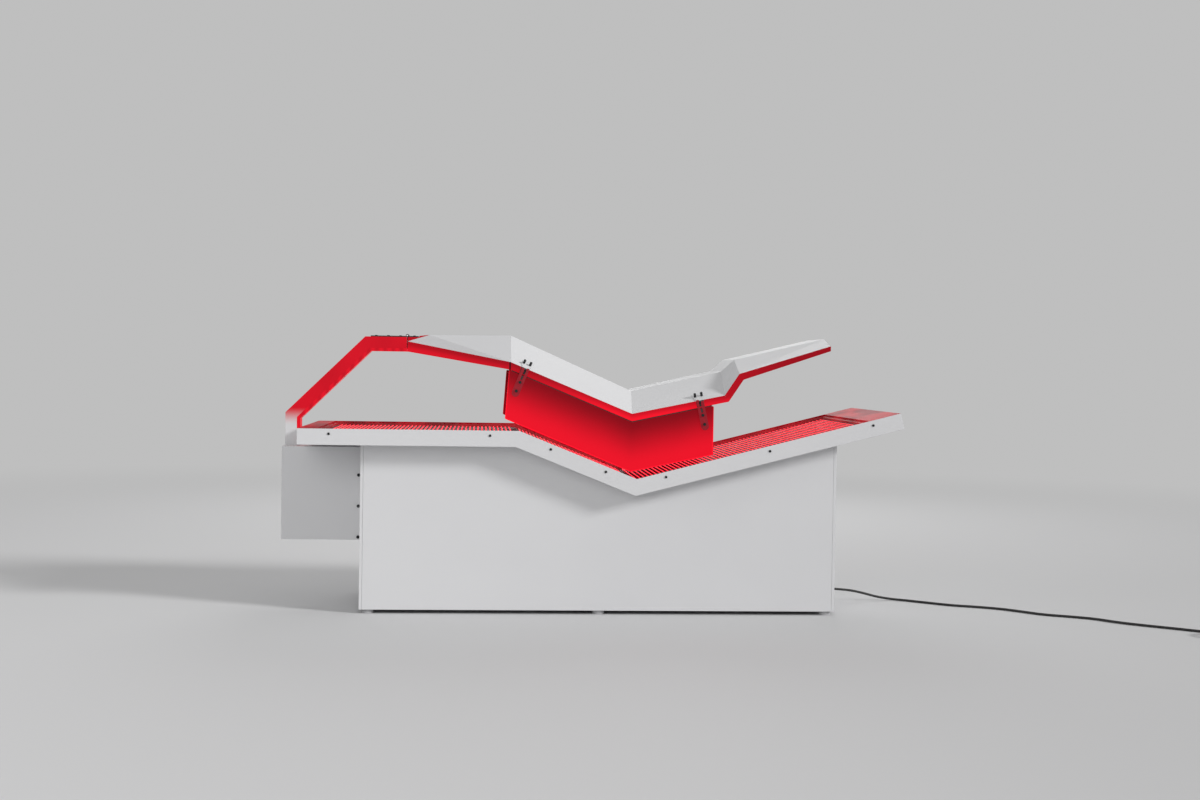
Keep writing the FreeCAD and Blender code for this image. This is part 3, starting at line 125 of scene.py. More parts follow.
# The rim's top line from foot to head, as (x, z), and how deep the tray is inside
DECK_LINE = (-1.031, 0.657), (-0.258, 0.657), (0.159, 0.4919), (1.101, 0.7355)
TRAY_DEPTH = 0.024

# The canopy's low edge from foot to head, as (x, z), its band's height and its knee seam's x
CANOPY_FOOT = (-0.6675, 0.9380)
CANOPY_KNEE = (-0.2885, 0.8710)
CANOPY_FOLD = (0.1495, 0.6918)
CANOPY_NECK = (0.4843, 0.7621)
BAND_HEIGHT = 0.027
KNEE_SEAM = -0.2905

# Corners of a box's faces: four round its low end, then four round its high end
BOX_FACES = (
    (0, 1, 2, 3),
    (7, 6, 5, 4),
    (0, 4, 5, 1),
    (1, 5, 6, 2),
    (2, 6, 7, 3),
    (3, 7, 4, 0),
)

# LEDs on the deck's boards
LED_PITCH = 0.0152
LED_MARGIN = 0.014
LED_HALF = 0.0026
LED_BASE = 0.0014
LED_LENS_RADIUS = 0.0021
LED_LENS_TIP = 0.0012
LED_LENS_TOP = 0.0030
LED_LENS_SIDES = 6


# Camera, light and floor

def make_camera():
    """The camera at the photograph's viewing angle."""
    data = bpy.data.cameras.new("camera")
    data.lens = CAMERA_LENS
    data.sensor_width = CAMERA_SENSOR
    data.clip_end = 200.0
    camera = bpy.data.objects.new("camera", data)
    scene.collection.objects.link(camera)
    turn = Matrix.Rotation(-CAMERA_YAW, 4, "Z")
    turn = turn @ Matrix.Rotation(math.pi / 2 - CAMERA_PITCH, 4, "X")
    turn = turn @ Matrix.Rotation(CAMERA_ROLL, 4, "Z")
    camera.matrix_world = Matrix.Translation(CAMERA_PLACE) @ turn
    scene.camera = camera


def make_softbox(name, place, target, size, power):
    """A square area lamp at place, aimed at target."""
    data = bpy.data.lights.new(name, "AREA")
    data.shape = "SQUARE"
    data.size = size
    data.energy = power
    lamp = bpy.data.objects.new(name, data)
    scene.collection.objects.link(lamp)
    lamp.location = place
    aim = Vector(target) - Vector(place)
    lamp.rotation_euler = aim.to_track_quat("-Z", "Y").to_euler()


def make_key(name, aim, spread, strength):
    """A large far lamp that shines along aim, with shadows as soft as its spread in degrees."""
    data = bpy.data.lights.new(name, "SUN")
    data.angle = math.radians(spread)
    data.energy = strength
    lamp = bpy.data.objects.new(name, data)
    scene.collection.objects.link(lamp)
    lamp.rotation_euler = Vector(aim).to_track_quat("-Z", "Y").to_euler()


def make_lamps():
    """Soft studio light from all round, the strongest from low beside the head end."""
    middle = (0.0, 0.0, 0.6)
    make_key("key", aim=(-0.82, 0.43, -0.40), spread=11.0, strength=2.1)
    make_softbox("front", place=(-2.2, -6.4, 2.6), target=middle, size=3.0, power=62.0)
    make_softbox("overhead", place=(0.0, 0.3, 5.0), target=(0.0, 0.0, 0.5), size=4.0, power=14.0)
    make_softbox("fill", place=(-4.6, -2.4, 2.6), target=(-0.2, 0.0, 0.6), size=2.6, power=30.0)
    make_softbox("rear", place=(0.6, 5.2, 3.6), target=middle, size=3.0, power=70.0)


def seen_ray(tree):
    """1 for a ray that shows the surroundings: straight, in a reflection or through glass."""
    path = tree.nodes.new("ShaderNodeLightPath")
    either = maths(tree, "MAXIMUM", path.outputs["Is Camera Ray"], path.outputs["Is Glossy Ray"])
    return maths(tree, "MAXIMUM", either, path.outputs["Is Transmission Ray"])


def make_world():
    """An even studio: a pale grey background, which lights the object at a lower level."""
    world = bpy.data.worlds.new("studio")
    scene.world = world
    world.use_nodes = True
    tree = world.node_tree
    background = tree.nodes["Background"]
    background.inputs["Color"].default_value = WHITE
    strength = ramp(tree, seen_ray(tree), 0.0, 1.0, STUDIO_LIGHT, BACKGROUND_LEVEL)
    tree.links.new(strength, background.inputs["Strength"])


def make_floor():
    """A wide pale floor that goes over into the background's colour far from the object."""
    radius, near, far = 60.0, 3.0, 9.0
    mesh = bpy.data.meshes.new("floor")
    form = bmesh.new()
    bmesh.ops.create_circle(form, cap_ends=True, segments=96, radius=radius)
    form.to_mesh(mesh)
    form.free()
    floor = bpy.data.objects.new("floor", mesh)
    scene.collection.objects.link(floor)
    made, tree, shader = start_material("pale_floor")
    shader.inputs["Base Color"].default_value = PALE_FLOOR
    shader.inputs["Roughness"].default_value = 0.7
    shader.inputs["Specular IOR Level"].default_value = 0.2
    horizon = add(tree, "ShaderNodeEmission", {"Color": WHITE, "Strength": BACKGROUND_LEVEL})
    distance = add(tree, "ShaderNodeVectorMath", {0: rest_point(tree)}, operation="LENGTH")
    share = ramp(tree, distance.outputs["Value"], near, far)
    share = maths(tree, "MULTIPLY", share, seen_ray(tree))
    mix_shaders(tree, share, shader, horizon)
    mesh.materials.append(made)


# Nodes of the materials

def start_material(name):
    """A new material, its node tree and its shader."""
    made = bpy.data.materials.new(name)
    made.use_nodes = True
    return made, made.node_tree, made.node_tree.nodes["Principled BSDF"]


def feed(tree, socket, value):
    """Links a socket to value, or sets it where value is plain."""
    if isinstance(value, bpy.types.NodeSocket):
        tree.links.new(value, socket)
    else:
        socket.default_value = value


def add(tree, kind, inputs=None, **settings):
    """A new node with its settings, and with the inputs that are named or numbered."""
    node = tree.nodes.new(kind)
    for key, value in settings.items():
        setattr(node, key, value)
    for key, value in (inputs or {}).items():
        feed(tree, node.inputs[key], value)
    return node


def maths(tree, operation, *values):
    """The result of one operation on one to three values."""
    node = add(tree, "ShaderNodeMath", dict(enumerate(values)), operation=operation)
    return node.outputs[0]


def ramp(tree, value, low, high, start=0.0, end=1.0):
    """A smooth step of value from start at low to end at high."""
    inputs = {"Value": value, "From Min": low, "From Max": high, "To Min": start, "To Max": end}
    node = add(tree, "ShaderNodeMapRange", inputs, interpolation_type="SMOOTHSTEP")
    return node.outputs["Result"]


def over_noise(tree, value, start, end):
    """From start to end over the middle of a noise's range."""
    return ramp(tree, value, NOISE_LOW, NOISE_HIGH, start, end)


def rest_point(tree):
    """Where the point is on the object at rest, because every node's object sits at the origin."""
    return tree.nodes.new("ShaderNodeTexCoord").outputs["Object"]


def split(tree, vector):
    """A vector's X, Y and Z."""
    return add(tree, "ShaderNodeSeparateXYZ", {"Vector": vector}).outputs


def axes(tree):
    """The point's X, Y and Z."""
    return split(tree, rest_point(tree))


def scaled(tree, factors):
    """The point with its X, Y and Z stretched."""
    inputs = {0: rest_point(tree), 1: factors}
    return add(tree, "ShaderNodeVectorMath", inputs, operation="MULTIPLY").outputs["Vector"]


def noise(tree, scale, detail=2.0, stretch=(1.0, 1.0, 1.0)):
    """A cloudy noise, finer along an axis that is stretched."""
    inputs = {"Vector": scaled(tree, stretch), "Scale": scale, "Detail": detail}
    return add(tree, "ShaderNodeTexNoise", inputs).outputs["Fac"]


def cells(tree, scale):
    """A pattern of cells."""
    return add(tree, "ShaderNodeTexVoronoi", {"Vector": rest_point(tree), "Scale": scale}).outputs


def blend(tree, factor, first, second):
    """A mix of two colours."""
    node = add(tree, "ShaderNodeMix", {0: factor, 6: first, 7: second}, data_type="RGBA")
    return node.outputs[2]


def bump(tree, height, distance, strength=1.0, normal=None):
    """A normal bumped by a height that stands for that distance."""
    inputs = {"Height": height, "Distance": distance, "Strength": strength}
    if normal is not None:
        inputs["Normal"] = normal
    return add(tree, "ShaderNodeBump", inputs).outputs["Normal"]


def soft_edges(tree, radius):
    """A normal that rounds the sheet's folds and edges."""
    return add(tree, "ShaderNodeBevel", {"Radius": radius}, samples=4).outputs["Normal"]


def surface(tree, shader, colour, roughness, normal=None):
    """Gives the shader its colour, its roughness and, where there is one, its normal."""
    feed(tree, shader.inputs["Base Color"], colour)
    feed(tree, shader.inputs["Roughness"], roughness)
    if normal is not None:
        feed(tree, shader.inputs["Normal"], normal)


def mix_shaders(tree, share, first, second):
    """Makes the surface a mix of two shaders, with that share of the second."""
    inputs = {0: share, 1: first.outputs[0], 2: second.outputs[0]}
    mix = add(tree, "ShaderNodeMixShader", inputs)
    tree.links.new(mix.outputs[0], tree.nodes["Material Output"].inputs["Surface"])


# Places and faces that the materials ask for

def facing(tree):
    """X, Y and Z of the way that the face looks, with the object at rest."""
    geometry = tree.nodes.new("ShaderNodeNewGeometry")
    turned = add(tree, "ShaderNodeVectorTransform", {0: geometry.outputs["True Normal"]})
    turned.vector_type = "NORMAL"
    turned.convert_from = "WORLD"
    turned.convert_to = "OBJECT"
    return split(tree, turned.outputs[0])


def outward(tree, axis):
    """How far the face looks away from the object's middle along X or Y, from -1 to 1."""
    side = maths(tree, "SIGN", axes(tree)[axis])
    return maths(tree, "MULTIPLY", facing(tree)[axis], side)


def upright_face(tree):
    """1 on upright faces that look to the near or the far side, also where they flare."""
    most_tilt, most_flare = 0.15, 0.9
    way = facing(tree)
    upright = maths(tree, "LESS_THAN", maths(tree, "ABSOLUTE", way["Z"]), most_tilt)
    sideways = maths(tree, "LESS_THAN", maths(tree, "ABSOLUTE", way["X"]), most_flare)
    return maths(tree, "MULTIPLY", upright, sideways)


def above_line(tree, start, end):
    """How far the point is above the line from start to end, both (x, z), square to it."""
    run = Vector((end[0] - start[0], end[1] - start[1])).normalized()
    square = (-run.y, 0.0, run.x)
    offset = -run.y * start[0] + run.x * start[1]
    inputs = {0: rest_point(tree), 1: square}
    node = add(tree, "ShaderNodeVectorMath", inputs, operation="DOT_PRODUCT")
    return maths(tree, "SUBTRACT", node.outputs["Value"], offset)


def above_fold(tree, first, fold, last):
    """How far the point is above a line with one fold that opens upwards."""
    return maths(tree, "MINIMUM", above_line(tree, first, fold), above_line(tree, fold, last))


def above_deck(tree):
    """How far the point is above the rim's top line, which is folded down and then up."""
    leg, thigh, back = (above_line(tree, *ends) for ends in zip(DECK_LINE, DECK_LINE[1:]))
    return maths(tree, "MINIMUM", maths(tree, "MAXIMUM", leg, thigh), back)


# Materials

def paint(tree, shader):
    """Powder-coated sheet: fine orange peel, a slightly uneven gloss and rounded folds."""
    pale_share, smooth, rough, mottle_share = 0.35, 0.36, 0.43, 0.06
    fold_radius, peel_depth = 0.0016, 0.00012
    cloud = noise(tree, scale=1.7, detail=3.0)
    mottle = noise(tree, scale=60.0, detail=3.0)
    peel = noise(tree, scale=620.0, detail=1.5)
    tone = ramp(tree, cloud, 0.35, 0.75, 0.0, pale_share)
    colour = blend(tree, tone, WHITE_PAINT, PALE_PAINT)
    even = over_noise(tree, cloud, smooth, rough)
    gloss = maths(tree, "MULTIPLY_ADD", mottle, mottle_share, even)
    folds = soft_edges(tree, fold_radius)
    surface(tree, shader, colour, gloss, bump(tree, peel, peel_depth, strength=0.5, normal=folds))
    return colour


def glow(tree, shader, strength, colour=DEEP_RED):
    """The LEDs' red light, painted on a surface as an emission of that strength over a ground of that
    colour.
    """
    feed(tree, shader.inputs["Base Color"], colour)
    shader.inputs["Specular IOR Level"].default_value = 0.06
    shader.inputs["Emission Color"].default_value = LIT_RED
    feed(tree, shader.inputs["Emission Strength"], strength)


def glow_where(tree, shader, mask, level, ground):
    """Lit at that level where mask is 1, and left in its ground colour where it is 0."""
    strength = maths(tree, "MULTIPLY", mask, level)
    glow(tree, shader, strength, blend(tree, mask, ground, DEEP_RED))


def white_paint():
    """The white sheet metal of the cabinet and the column."""
    made, tree, shader = start_material("white_paint")
    paint(tree, shader)
    return made


def lit_rim_paint():
    """The deck's tray: white, with the LEDs' light on the margins that look up or inward."""
    dim, bright, edge = 0.16, 0.36, 0.002
    made, tree, shader = start_material("lit_rim_paint")
    ground = paint(tree, shader)
    cloud = noise(tree, scale=9.0, stretch=(1.0, 0.35, 1.0))
    patches = ramp(tree, cloud, 0.38, 0.62, dim, bright)
    lit = ramp(tree, facing(tree)["Z"], 0.4, 0.6)
    for axis in ("X", "Y"):
        lit = maths(tree, "MAXIMUM", lit, ramp(tree, outward(tree, axis), -0.6, -0.8))
    in_tray = ramp(tree, above_deck(tree), -TRAY_DEPTH, edge - TRAY_DEPTH)
    glow_where(tree, shader, maths(tree, "MULTIPLY", lit, in_tray), patches, ground)
    return made


def leaf_paint_and_slot_shade():
    """The strap hinges' upper leaves: white paint on the canopy's facet, and black where they cross its
    band, which is painted shade in the forks' slots.
    """
    blur = 0.0015
    band_top = [(x, z + BAND_HEIGHT) for x, z in (CANOPY_KNEE, CANOPY_FOLD, CANOPY_NECK)]
    made, tree, shader = start_material("leaf_paint_and_slot_shade")
    ground = paint(tree, shader)
    # Painted shade: the leaf goes black below the band's top line, so the forks' slots look dark
    below = ramp(tree, above_fold(tree, *band_top), -blur, blur, 1.0, 0.0)
    feed(tree, shader.inputs["Base Color"], blend(tree, below, ground, BLACK))
    return made


def lit_band_paint(name, low_edge, dim_x, bright_x, dim, bright, seam_x=None):
    """A canopy shell: white facets over an edge band with the LEDs' red light painted on it, from dim to
    bright along X and most at its low edge, and it stays dark at the seam to the next shell."""
    low_height, high_height, low_gain, high_gain = 0.002, 0.024, 1.25, 0.75
    seam_dark, seam_lit = 0.0025, 0.0045
    made, tree, shader = start_material(name)
    ground = paint(tree, shader)
    level = ramp(tree, axes(tree)["X"], dim_x, bright_x, dim, bright)
    height = above_line(tree, *low_edge)
    gain = ramp(tree, height, low_height, high_height, low_gain, high_gain)
    level = maths(tree, "MULTIPLY", level, gain)
    if seam_x is not None:
        apart = maths(tree, "ABSOLUTE", maths(tree, "SUBTRACT", axes(tree)["X"], seam_x))
        level = maths(tree, "MULTIPLY", level, ramp(tree, apart, seam_dark, seam_lit))
    glow_where(tree, shader, upright_face(tree), level, ground)
    return made


def lit_arm_paint():
    """The arm: the LEDs' red light painted on its sides, which goes over into white where it turns down
    to the column.
    """
    white_height, red_height, dim, bright = 0.652, 0.722, 0.50, 0.60
    made, tree, shader = start_material("lit_arm_paint")
    ground = paint(tree, shader)
    red_share = ramp(tree, axes(tree)["Z"], white_height, red_height)
    side = maths(tree, "MULTIPLY", upright_face(tree), red_share)
    haze = over_noise(tree, noise(tree, scale=5.0), dim, bright)
    glow_where(tree, shader, side, haze, ground)
    return made


def brushed(tree):
    """The streaks of brushed steel, and its normal with rounded edges."""
    edge_radius, streak_depth = 0.0006, 0.00008
    streaks = noise(tree, scale=260.0, detail=3.0, stretch=(6.0, 6.0, 0.35))
    edges = soft_edges(tree, edge_radius)
    return streaks, bump(tree, streaks, streak_depth, strength=0.5, normal=edges)


def lit_strap_steel():
    """The strap hinges: brushed steel with the panel's red light on it."""
    low, high = (0.16, 0.018, 0.026, 1.0), (0.24, 0.030, 0.040, 1.0)
    dim, bright, smooth, rough = 0.10, 0.15, 0.30, 0.44
    made, tree, shader = start_material("lit_strap_steel")
    streaks, normal = brushed(tree)
    glow(tree, shader, over_noise(tree, streaks, dim, bright))
    gloss = over_noise(tree, streaks, smooth, rough)
    surface(tree, shader, blend(tree, streaks, low, high), gloss, normal)
    shader.inputs["Metallic"].default_value = 0.5
    return made


def bright_steel():
    """Brushed stainless steel."""
    low, high = (0.60, 0.60, 0.61, 1.0), (0.74, 0.74, 0.75, 1.0)
    smooth, rough = 0.22, 0.36
    made, tree, shader = start_material("bright_steel")
    streaks, normal = brushed(tree)
    gloss = over_noise(tree, streaks, smooth, rough)
    surface(tree, shader, blend(tree, streaks, low, high), gloss, normal)
    shader.inputs["Metallic"].default_value = 1.0
    return made


def led_spots(tree, pitch, radius):
    """1 at the middle of each LED of a square grid, seen from below through a diffuser."""
    core = 0.1
    grid = scaled(tree, (1.0 / pitch, 1.0 / pitch, 0.0))
    cell = add(tree, "ShaderNodeVectorMath", {0: grid}, operation="FRACTION").outputs["Vector"]
    middle = add(tree, "ShaderNodeVectorMath", {0: cell, 1: (0.5, 0.5, 0.0)}, operation="DISTANCE")
    return ramp(tree, middle.outputs["Value"], core, radius / pitch, 1.0, 0.0)


def lit_diffuser():
    """Frosted acrylic with rows of LEDs close behind it."""
    ground_level, haze_level, spot_level, smooth, rough = 0.40, 0.2, 0.40, 0.30, 0.40
    made, tree, shader = start_material("lit_diffuser")
    spots = led_spots(tree, pitch=0.030, radius=0.017)
    haze = noise(tree, scale=9.0)
    even = maths(tree, "MULTIPLY_ADD", haze, haze_level, ground_level)
    glow(tree, shader, maths(tree, "MULTIPLY_ADD", spots, spot_level, even))
    frost = bump(tree, noise(tree, scale=900.0, detail=1.0), FINE_RELIEF, strength=0.5)
    surface(tree, shader, DEEP_RED, over_noise(tree, haze, smooth, rough), frost)
    return made


def side_panel():
    """A frosted side panel: brightest at the deck, dark under the canopy, with shining edges."""
    low = (-0.3075, 0.6955), (0.1450, 0.5104), (0.4435, 0.5744)
    high = CANOPY_KNEE, CANOPY_FOLD, (0.4995, 0.7668)
    foot_edge = (-0.2955, 0.8643), (-0.3075, 0.6955)
    head_x, shine, shine_width, inner_share = 0.4435, 0.30, 0.005, 0.25
    deck_level, canopy_level, haze_share, smooth, rough = 0.80, 0.17, 0.12, 0.22, 0.34
    made, tree, shader = start_material("side_panel")
    height = above_fold(tree, *low)
    depth = maths(tree, "MULTIPLY", above_fold(tree, *high), -1.0)
    share = maths(tree, "DIVIDE", height, maths(tree, "ADD", height, depth))
    haze = noise(tree, scale=7.0, detail=3.0)
    hazy = maths(tree, "MULTIPLY_ADD", haze, haze_share, share)
    level = ramp(tree, hazy, 0.15, 1.10, deck_level, canopy_level)
    to_foot = above_line(tree, *foot_edge)
    to_head = maths(tree, "SUBTRACT", head_x, axes(tree)["X"])
    inside = maths(tree, "MINIMUM", height, maths(tree, "MINIMUM", to_foot, to_head))
    edges = ramp(tree, inside, 0.4 * shine_width, shine_width, shine, 0.0)
    level = maths(tree, "ADD", level, edges)
    outer_face = ramp(tree, outward(tree, "Y"), -0.9, -0.3, inner_share, 1.0)
    glow(tree, shader, maths(tree, "MULTIPLY", level, outer_face))
    frost = bump(tree, noise(tree, scale=800.0, detail=1.0), FINE_RELIEF, strength=0.4)
    surface(tree, shader, DEEP_RED, over_noise(tree, haze, smooth, rough), frost)
    return made


def clear_plate():
    """Clear acrylic: mostly see-through, with a polished face that has fine wiping marks."""
    tint, face_colour = (0.97, 0.955, 0.955, 1.0), (0.06, 0.010, 0.012, 1.0)
    smooth, rough, least_face, most_face = 0.04, 0.12, 0.03, 0.06
    made, tree, shader = start_material("clear_plate")
    marks = noise(tree, scale=40.0, detail=4.0, stretch=(1.0, 0.06, 1.0))
    surface(tree, shader, face_colour, over_noise(tree, marks, smooth, rough))
    clear = add(tree, "ShaderNodeBsdfTransparent", {"Color": tint})
    mix_shaders(tree, ramp(tree, marks, 0.3, 0.8, least_face, most_face), clear, shader)
    return made


def led_board():
    """A black solder mask with faint copper tracks, and a little of the LEDs' light on it."""
    low, high = (0.02, 0.008, 0.009, 1.0), (0.05, 0.012, 0.012, 1.0)
    smooth, rough = 0.5, 0.65
    made, tree, shader = start_material("led_board")
    lanes = split(tree, scaled(tree, (0.0, 2.0 * math.pi / LED_PITCH, 0.0)))["Y"]
    tracks = ramp(tree, maths(tree, "SINE", lanes), 0.2, 0.8)
    gloss = over_noise(tree, noise(tree, scale=50.0), smooth, rough)
    relief = bump(tree, tracks, FINE_RELIEF, strength=0.6)
    surface(tree, shader, blend(tree, tracks, low, high), gloss, relief)
    shader.inputs["Specular IOR Level"].default_value = 0.08
    shader.inputs["Emission Color"].default_value = LIT_RED
    shader.inputs["Emission Strength"].default_value = 0.035
    return made


def led_package():
    """The body of an LED, red in its own light."""
    low, high = (0.16, 0.012, 0.016, 1.0), (0.22, 0.018, 0.024, 1.0)
    made, tree, shader = start_material("led_package")
    grain = noise(tree, scale=1500.0, detail=1.0)
    surface(tree, shader, blend(tree, grain, low, high), roughness=0.5)
    shader.inputs["Emission Color"].default_value = LIT_RED
    shader.inputs["Emission Strength"].default_value = 0.55
    return made


def led_lens():
    """The lens of an LED, which shines red, and not everywhere with the same strength."""
    dim, bright = 1.6, 2.4
    made, tree, shader = start_material("led_lens")
    surface(tree, shader, colour=(0.25, 0.015, 0.02, 1.0), roughness=0.15)
    shader.inputs["Specular IOR Level"].default_value = 0.15
    shader.inputs["Emission Color"].default_value = HOT_RED
    strength = over_noise(tree, noise(tree, scale=400.0, detail=1.0), dim, bright)
    feed(tree, shader.inputs["Emission Strength"], strength)
    made.cycles.emission_sampling = "NONE"
    return made


def bare_sheet():
    """Bare sheet metal inside the cabinet and the canopy, in small patches of grey."""
    low, high = (0.42, 0.43, 0.44, 1.0), (0.58, 0.59, 0.60, 1.0)
    smooth, rough = 0.36, 0.52
    made, tree, shader = start_material("bare_sheet")
    patches = split(tree, cells(tree, scale=70.0)["Color"])["X"]
    gloss = ramp(tree, patches, 0.0, 1.0, smooth, rough)
    surface(tree, shader, blend(tree, patches, low, high), gloss)
    shader.inputs["Metallic"].default_value = 0.85
    return made


def black_hardware():
    """Blackened steel of bolts, screws and hinge leaves, worn paler in places."""
    worn = (0.05, 0.05, 0.052, 1.0)
    smooth, rough = 0.34, 0.48
    made, tree, shader = start_material("black_hardware")
    wear = noise(tree, scale=180.0, detail=4.0)
    colour = blend(tree, ramp(tree, wear, 0.45, 0.8), BLACK, worn)
    edges = soft_edges(tree, radius=0.0005)
    relief = bump(tree, wear, FINE_RELIEF, strength=0.3, normal=edges)
    surface(tree, shader, colour, over_noise(tree, wear, smooth, rough), relief)
    shader.inputs["Metallic"].default_value = 0.6
    return made


def black_plastic():
    """Moulded black plastic with a fine spark-eroded texture."""
    low, high = (0.016, 0.016, 0.017, 1.0), (0.030, 0.030, 0.032, 1.0)
    smooth, rough = 0.42, 0.56
    made, tree, shader = start_material("black_plastic")
    grain = noise(tree, scale=1100.0)
    edges = soft_edges(tree, radius=0.0008)
    relief = bump(tree, grain, FINE_RELIEF, strength=0.6, normal=edges)
    surface(tree, shader, blend(tree, grain, low, high), over_noise(tree, grain, smooth, rough), relief)
    return made


def grey_foot():
    """The grey moulded plastic of the levelling feet, scuffed by the floor."""
    low, high = (0.38, 0.38, 0.39, 1.0), (0.46, 0.46, 0.47, 1.0)
    smooth, rough = 0.45, 0.6
    made, tree, shader = start_material("grey_foot")
    scuffs = noise(tree, scale=90.0, detail=3.0, stretch=(1.0, 1.0, 3.0))
    edges = soft_edges(tree, radius=0.0008)
    relief = bump(tree, scuffs, FINE_RELIEF, strength=0.5, normal=edges)
    surface(tree, shader, blend(tree, scuffs, low, high), over_noise(tree, scuffs, smooth, rough), relief)
    return made


def black_rubber():
    """Matt black rubber with a dusty bloom."""
    low, high = (0.014, 0.014, 0.014, 1.0), (0.034, 0.033, 0.032, 1.0)
    smooth, rough = 0.62, 0.78
    made, tree, shader = start_material("black_rubber")
    bloom = noise(tree, scale=35.0, detail=4.0)
    relief = bump(tree, noise(tree, scale=1300.0, detail=1.0), FINE_RELIEF, strength=0.5)
    surface(tree, shader, blend(tree, bloom, low, high), over_noise(tree, bloom, smooth, rough), relief)
    return made


def woven_tie():
    """Black hook-and-loop tape."""
    low, high = (0.012, 0.012, 0.013, 1.0), (0.045, 0.045, 0.048, 1.0)
    made, tree, shader = start_material("woven_tie")
    loops = cells(tree, scale=1400.0)["Distance"]
    pile = bump(tree, loops, distance=0.0003, strength=0.8)
    surface(tree, shader, blend(tree, loops, low, high), roughness=0.9, normal=pile)
    shader.inputs["Sheen Weight"].default_value = 0.4
    return made


# Shapes that the pieces share

def piece_from(name, points, faces, body, slot, *materials):
    """A mesh piece with its materials that rides on a body."""
    mesh = bpy.data.meshes.new(name)
    mesh.from_pydata(points, [], faces)
    mesh.validate()
    for made in materials:
        mesh.materials.append(made)
    piece = bpy.data.objects.new(name, mesh)
    scene.collection.objects.link(piece)
    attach(piece, body)
    return piece


def face_outward(piece):
    """Turns the faces of closed pieces outward."""
    form = bmesh.new()
    form.from_mesh(piece.data)
    bmesh.ops.recalc_face_normals(form, faces=form.faces)
    form.to_mesh(piece.data)
    form.free()


def add_box(points, faces, corners):
    """Adds a box from its corners: four round one end, then four round the other."""
    first = len(points)
    points.extend(corners)
    faces.extend(tuple(first + corner for corner in face) for face in BOX_FACES)


def skin(first, rings, count, closed):
    """Faces between neighbouring rings of count points each, and from the last ring to the
    first where the row of rings is closed."""
    faces = []
    for number in range(rings if closed else rings - 1):
        here = first + number * count
        there = first + (number + 1) % rings * count
        for a in range(count):
            b = (a + 1) % count
            faces.append((here + a, here + b, there + b, there + a))
    return faces


def add_ring(points, faces, centre, radius, wire):
    """Adds a wire ring that looks along Y."""
    around, sides = 40, 6
    faces.extend(skin(len(points), around, sides, closed=True))
    for number in range(around):
        turn = 2.0 * math.pi * number / around
        for side in range(sides):
            bend = 2.0 * math.pi * side / sides
            out = radius + wire * math.cos(bend)
            reach = Vector((out * math.cos(turn), wire * math.sin(bend), out * math.sin(turn)))
            points.append(centre + reach)


def round_rectangle(inner, outer, low, high, corner, steps):
    """Once round a rectangle with round corners: the middle of the corner, and the way out of it."""
    outline = []
    for across, rise, turn in (
        (outer - corner, low + corner, -90.0),
        (outer - corner, high - corner, 0.0),
        (inner + corner, high - corner, 90.0),
        (inner + corner, low + corner, 180.0),
    ):
        for number in range(steps + 1):
            bend = math.radians(turn + 90.0 * number / steps)
            outline.append(((across, rise), (math.cos(bend), math.sin(bend))))
    return outline


# Cord

def step(value, low, high):
    """A smooth step from 0 at low to 1 at high."""
    share = min(1.0, max(0.0, (value - low) / (high - low)))
    return share * share * (3.0 - 2.0 * share)


def coil_track(sweep):
    """The radius and height of the cord after that many degrees of winding: down and outside,
    down and inside, up and inside, up and outside, and last over the top to the plug."""
    width = COIL_OUTER - COIL_INNER
    radius = COIL_OUTER - width * step(sweep, *COIL_INWARD) + width * step(sweep, *COIL_OUTWARD)
    height = COIL_LOW
    height += (COIL_HIGH - COIL_LOW) * step(sweep, *COIL_UPWARD)
    height += (COIL_TOP - COIL_HIGH) * step(sweep, *COIL_OVER)
    return radius, height


def coil_points():
    """Control points of the put-away coil, a little outside the line that they draw."""
    outside = 1.0 / math.cos(math.radians(COIL_STEP) / 2.0) ** 2
    points = []
    count = round(COIL_SWEEP / COIL_STEP)
    for number in range(count + 1):
        sweep = COIL_SWEEP * number / count
        radius, height = coil_track(sweep)
        angle = math.radians(COIL_ENTRY - sweep)
        reach = Vector((math.cos(angle), math.sin(angle), 0.0)) * radius * outside
        points.append(COIL_CENTRE + reach + Vector((0.0, 0.0, height)))
    return points


def plug_points():
    """Control points of the cord's end: behind the plug, and just inside its back."""
    run, rise, sink = 0.022, 0.003, 0.004
    low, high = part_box("plug_body")
    back = Vector(((low.x + high.x) / 2, high.y, (low.z + high.z) / 2))
    return [back + Vector((0.0, run, rise)), back - Vector((0.0, sink, 0.0))]


def make_cord(rubber):
    """The mains cord: along the floor, into its coil and into the plug."""
    points = [Vector(p) for p in CORD_ROUTE] + coil_points() + plug_points()
    curve = bpy.data.curves.new("mains_cord", "CURVE")
    curve.dimensions = "3D"
    curve.bevel_depth = CORD_DIAMETER / 2
    curve.bevel_resolution = 5
    curve.use_fill_caps = True
    spline = curve.splines.new("NURBS")
    spline.points.add(len(points) - 1)
    for knot, point in zip(spline.points, points):
        knot.co = (point.x, point.y, point.z, 1.0)
    spline.order_u = 3
    spline.use_endpoint_u = True
    spline.resolution_u = 6
    cord = bpy.data.objects.new("mains_cord", curve)
    scene.collection.objects.link(cord)
    curve.materials.append(rubber)
    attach(cord, "base")
    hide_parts("cord_tube", "cord_coil")
    return cord


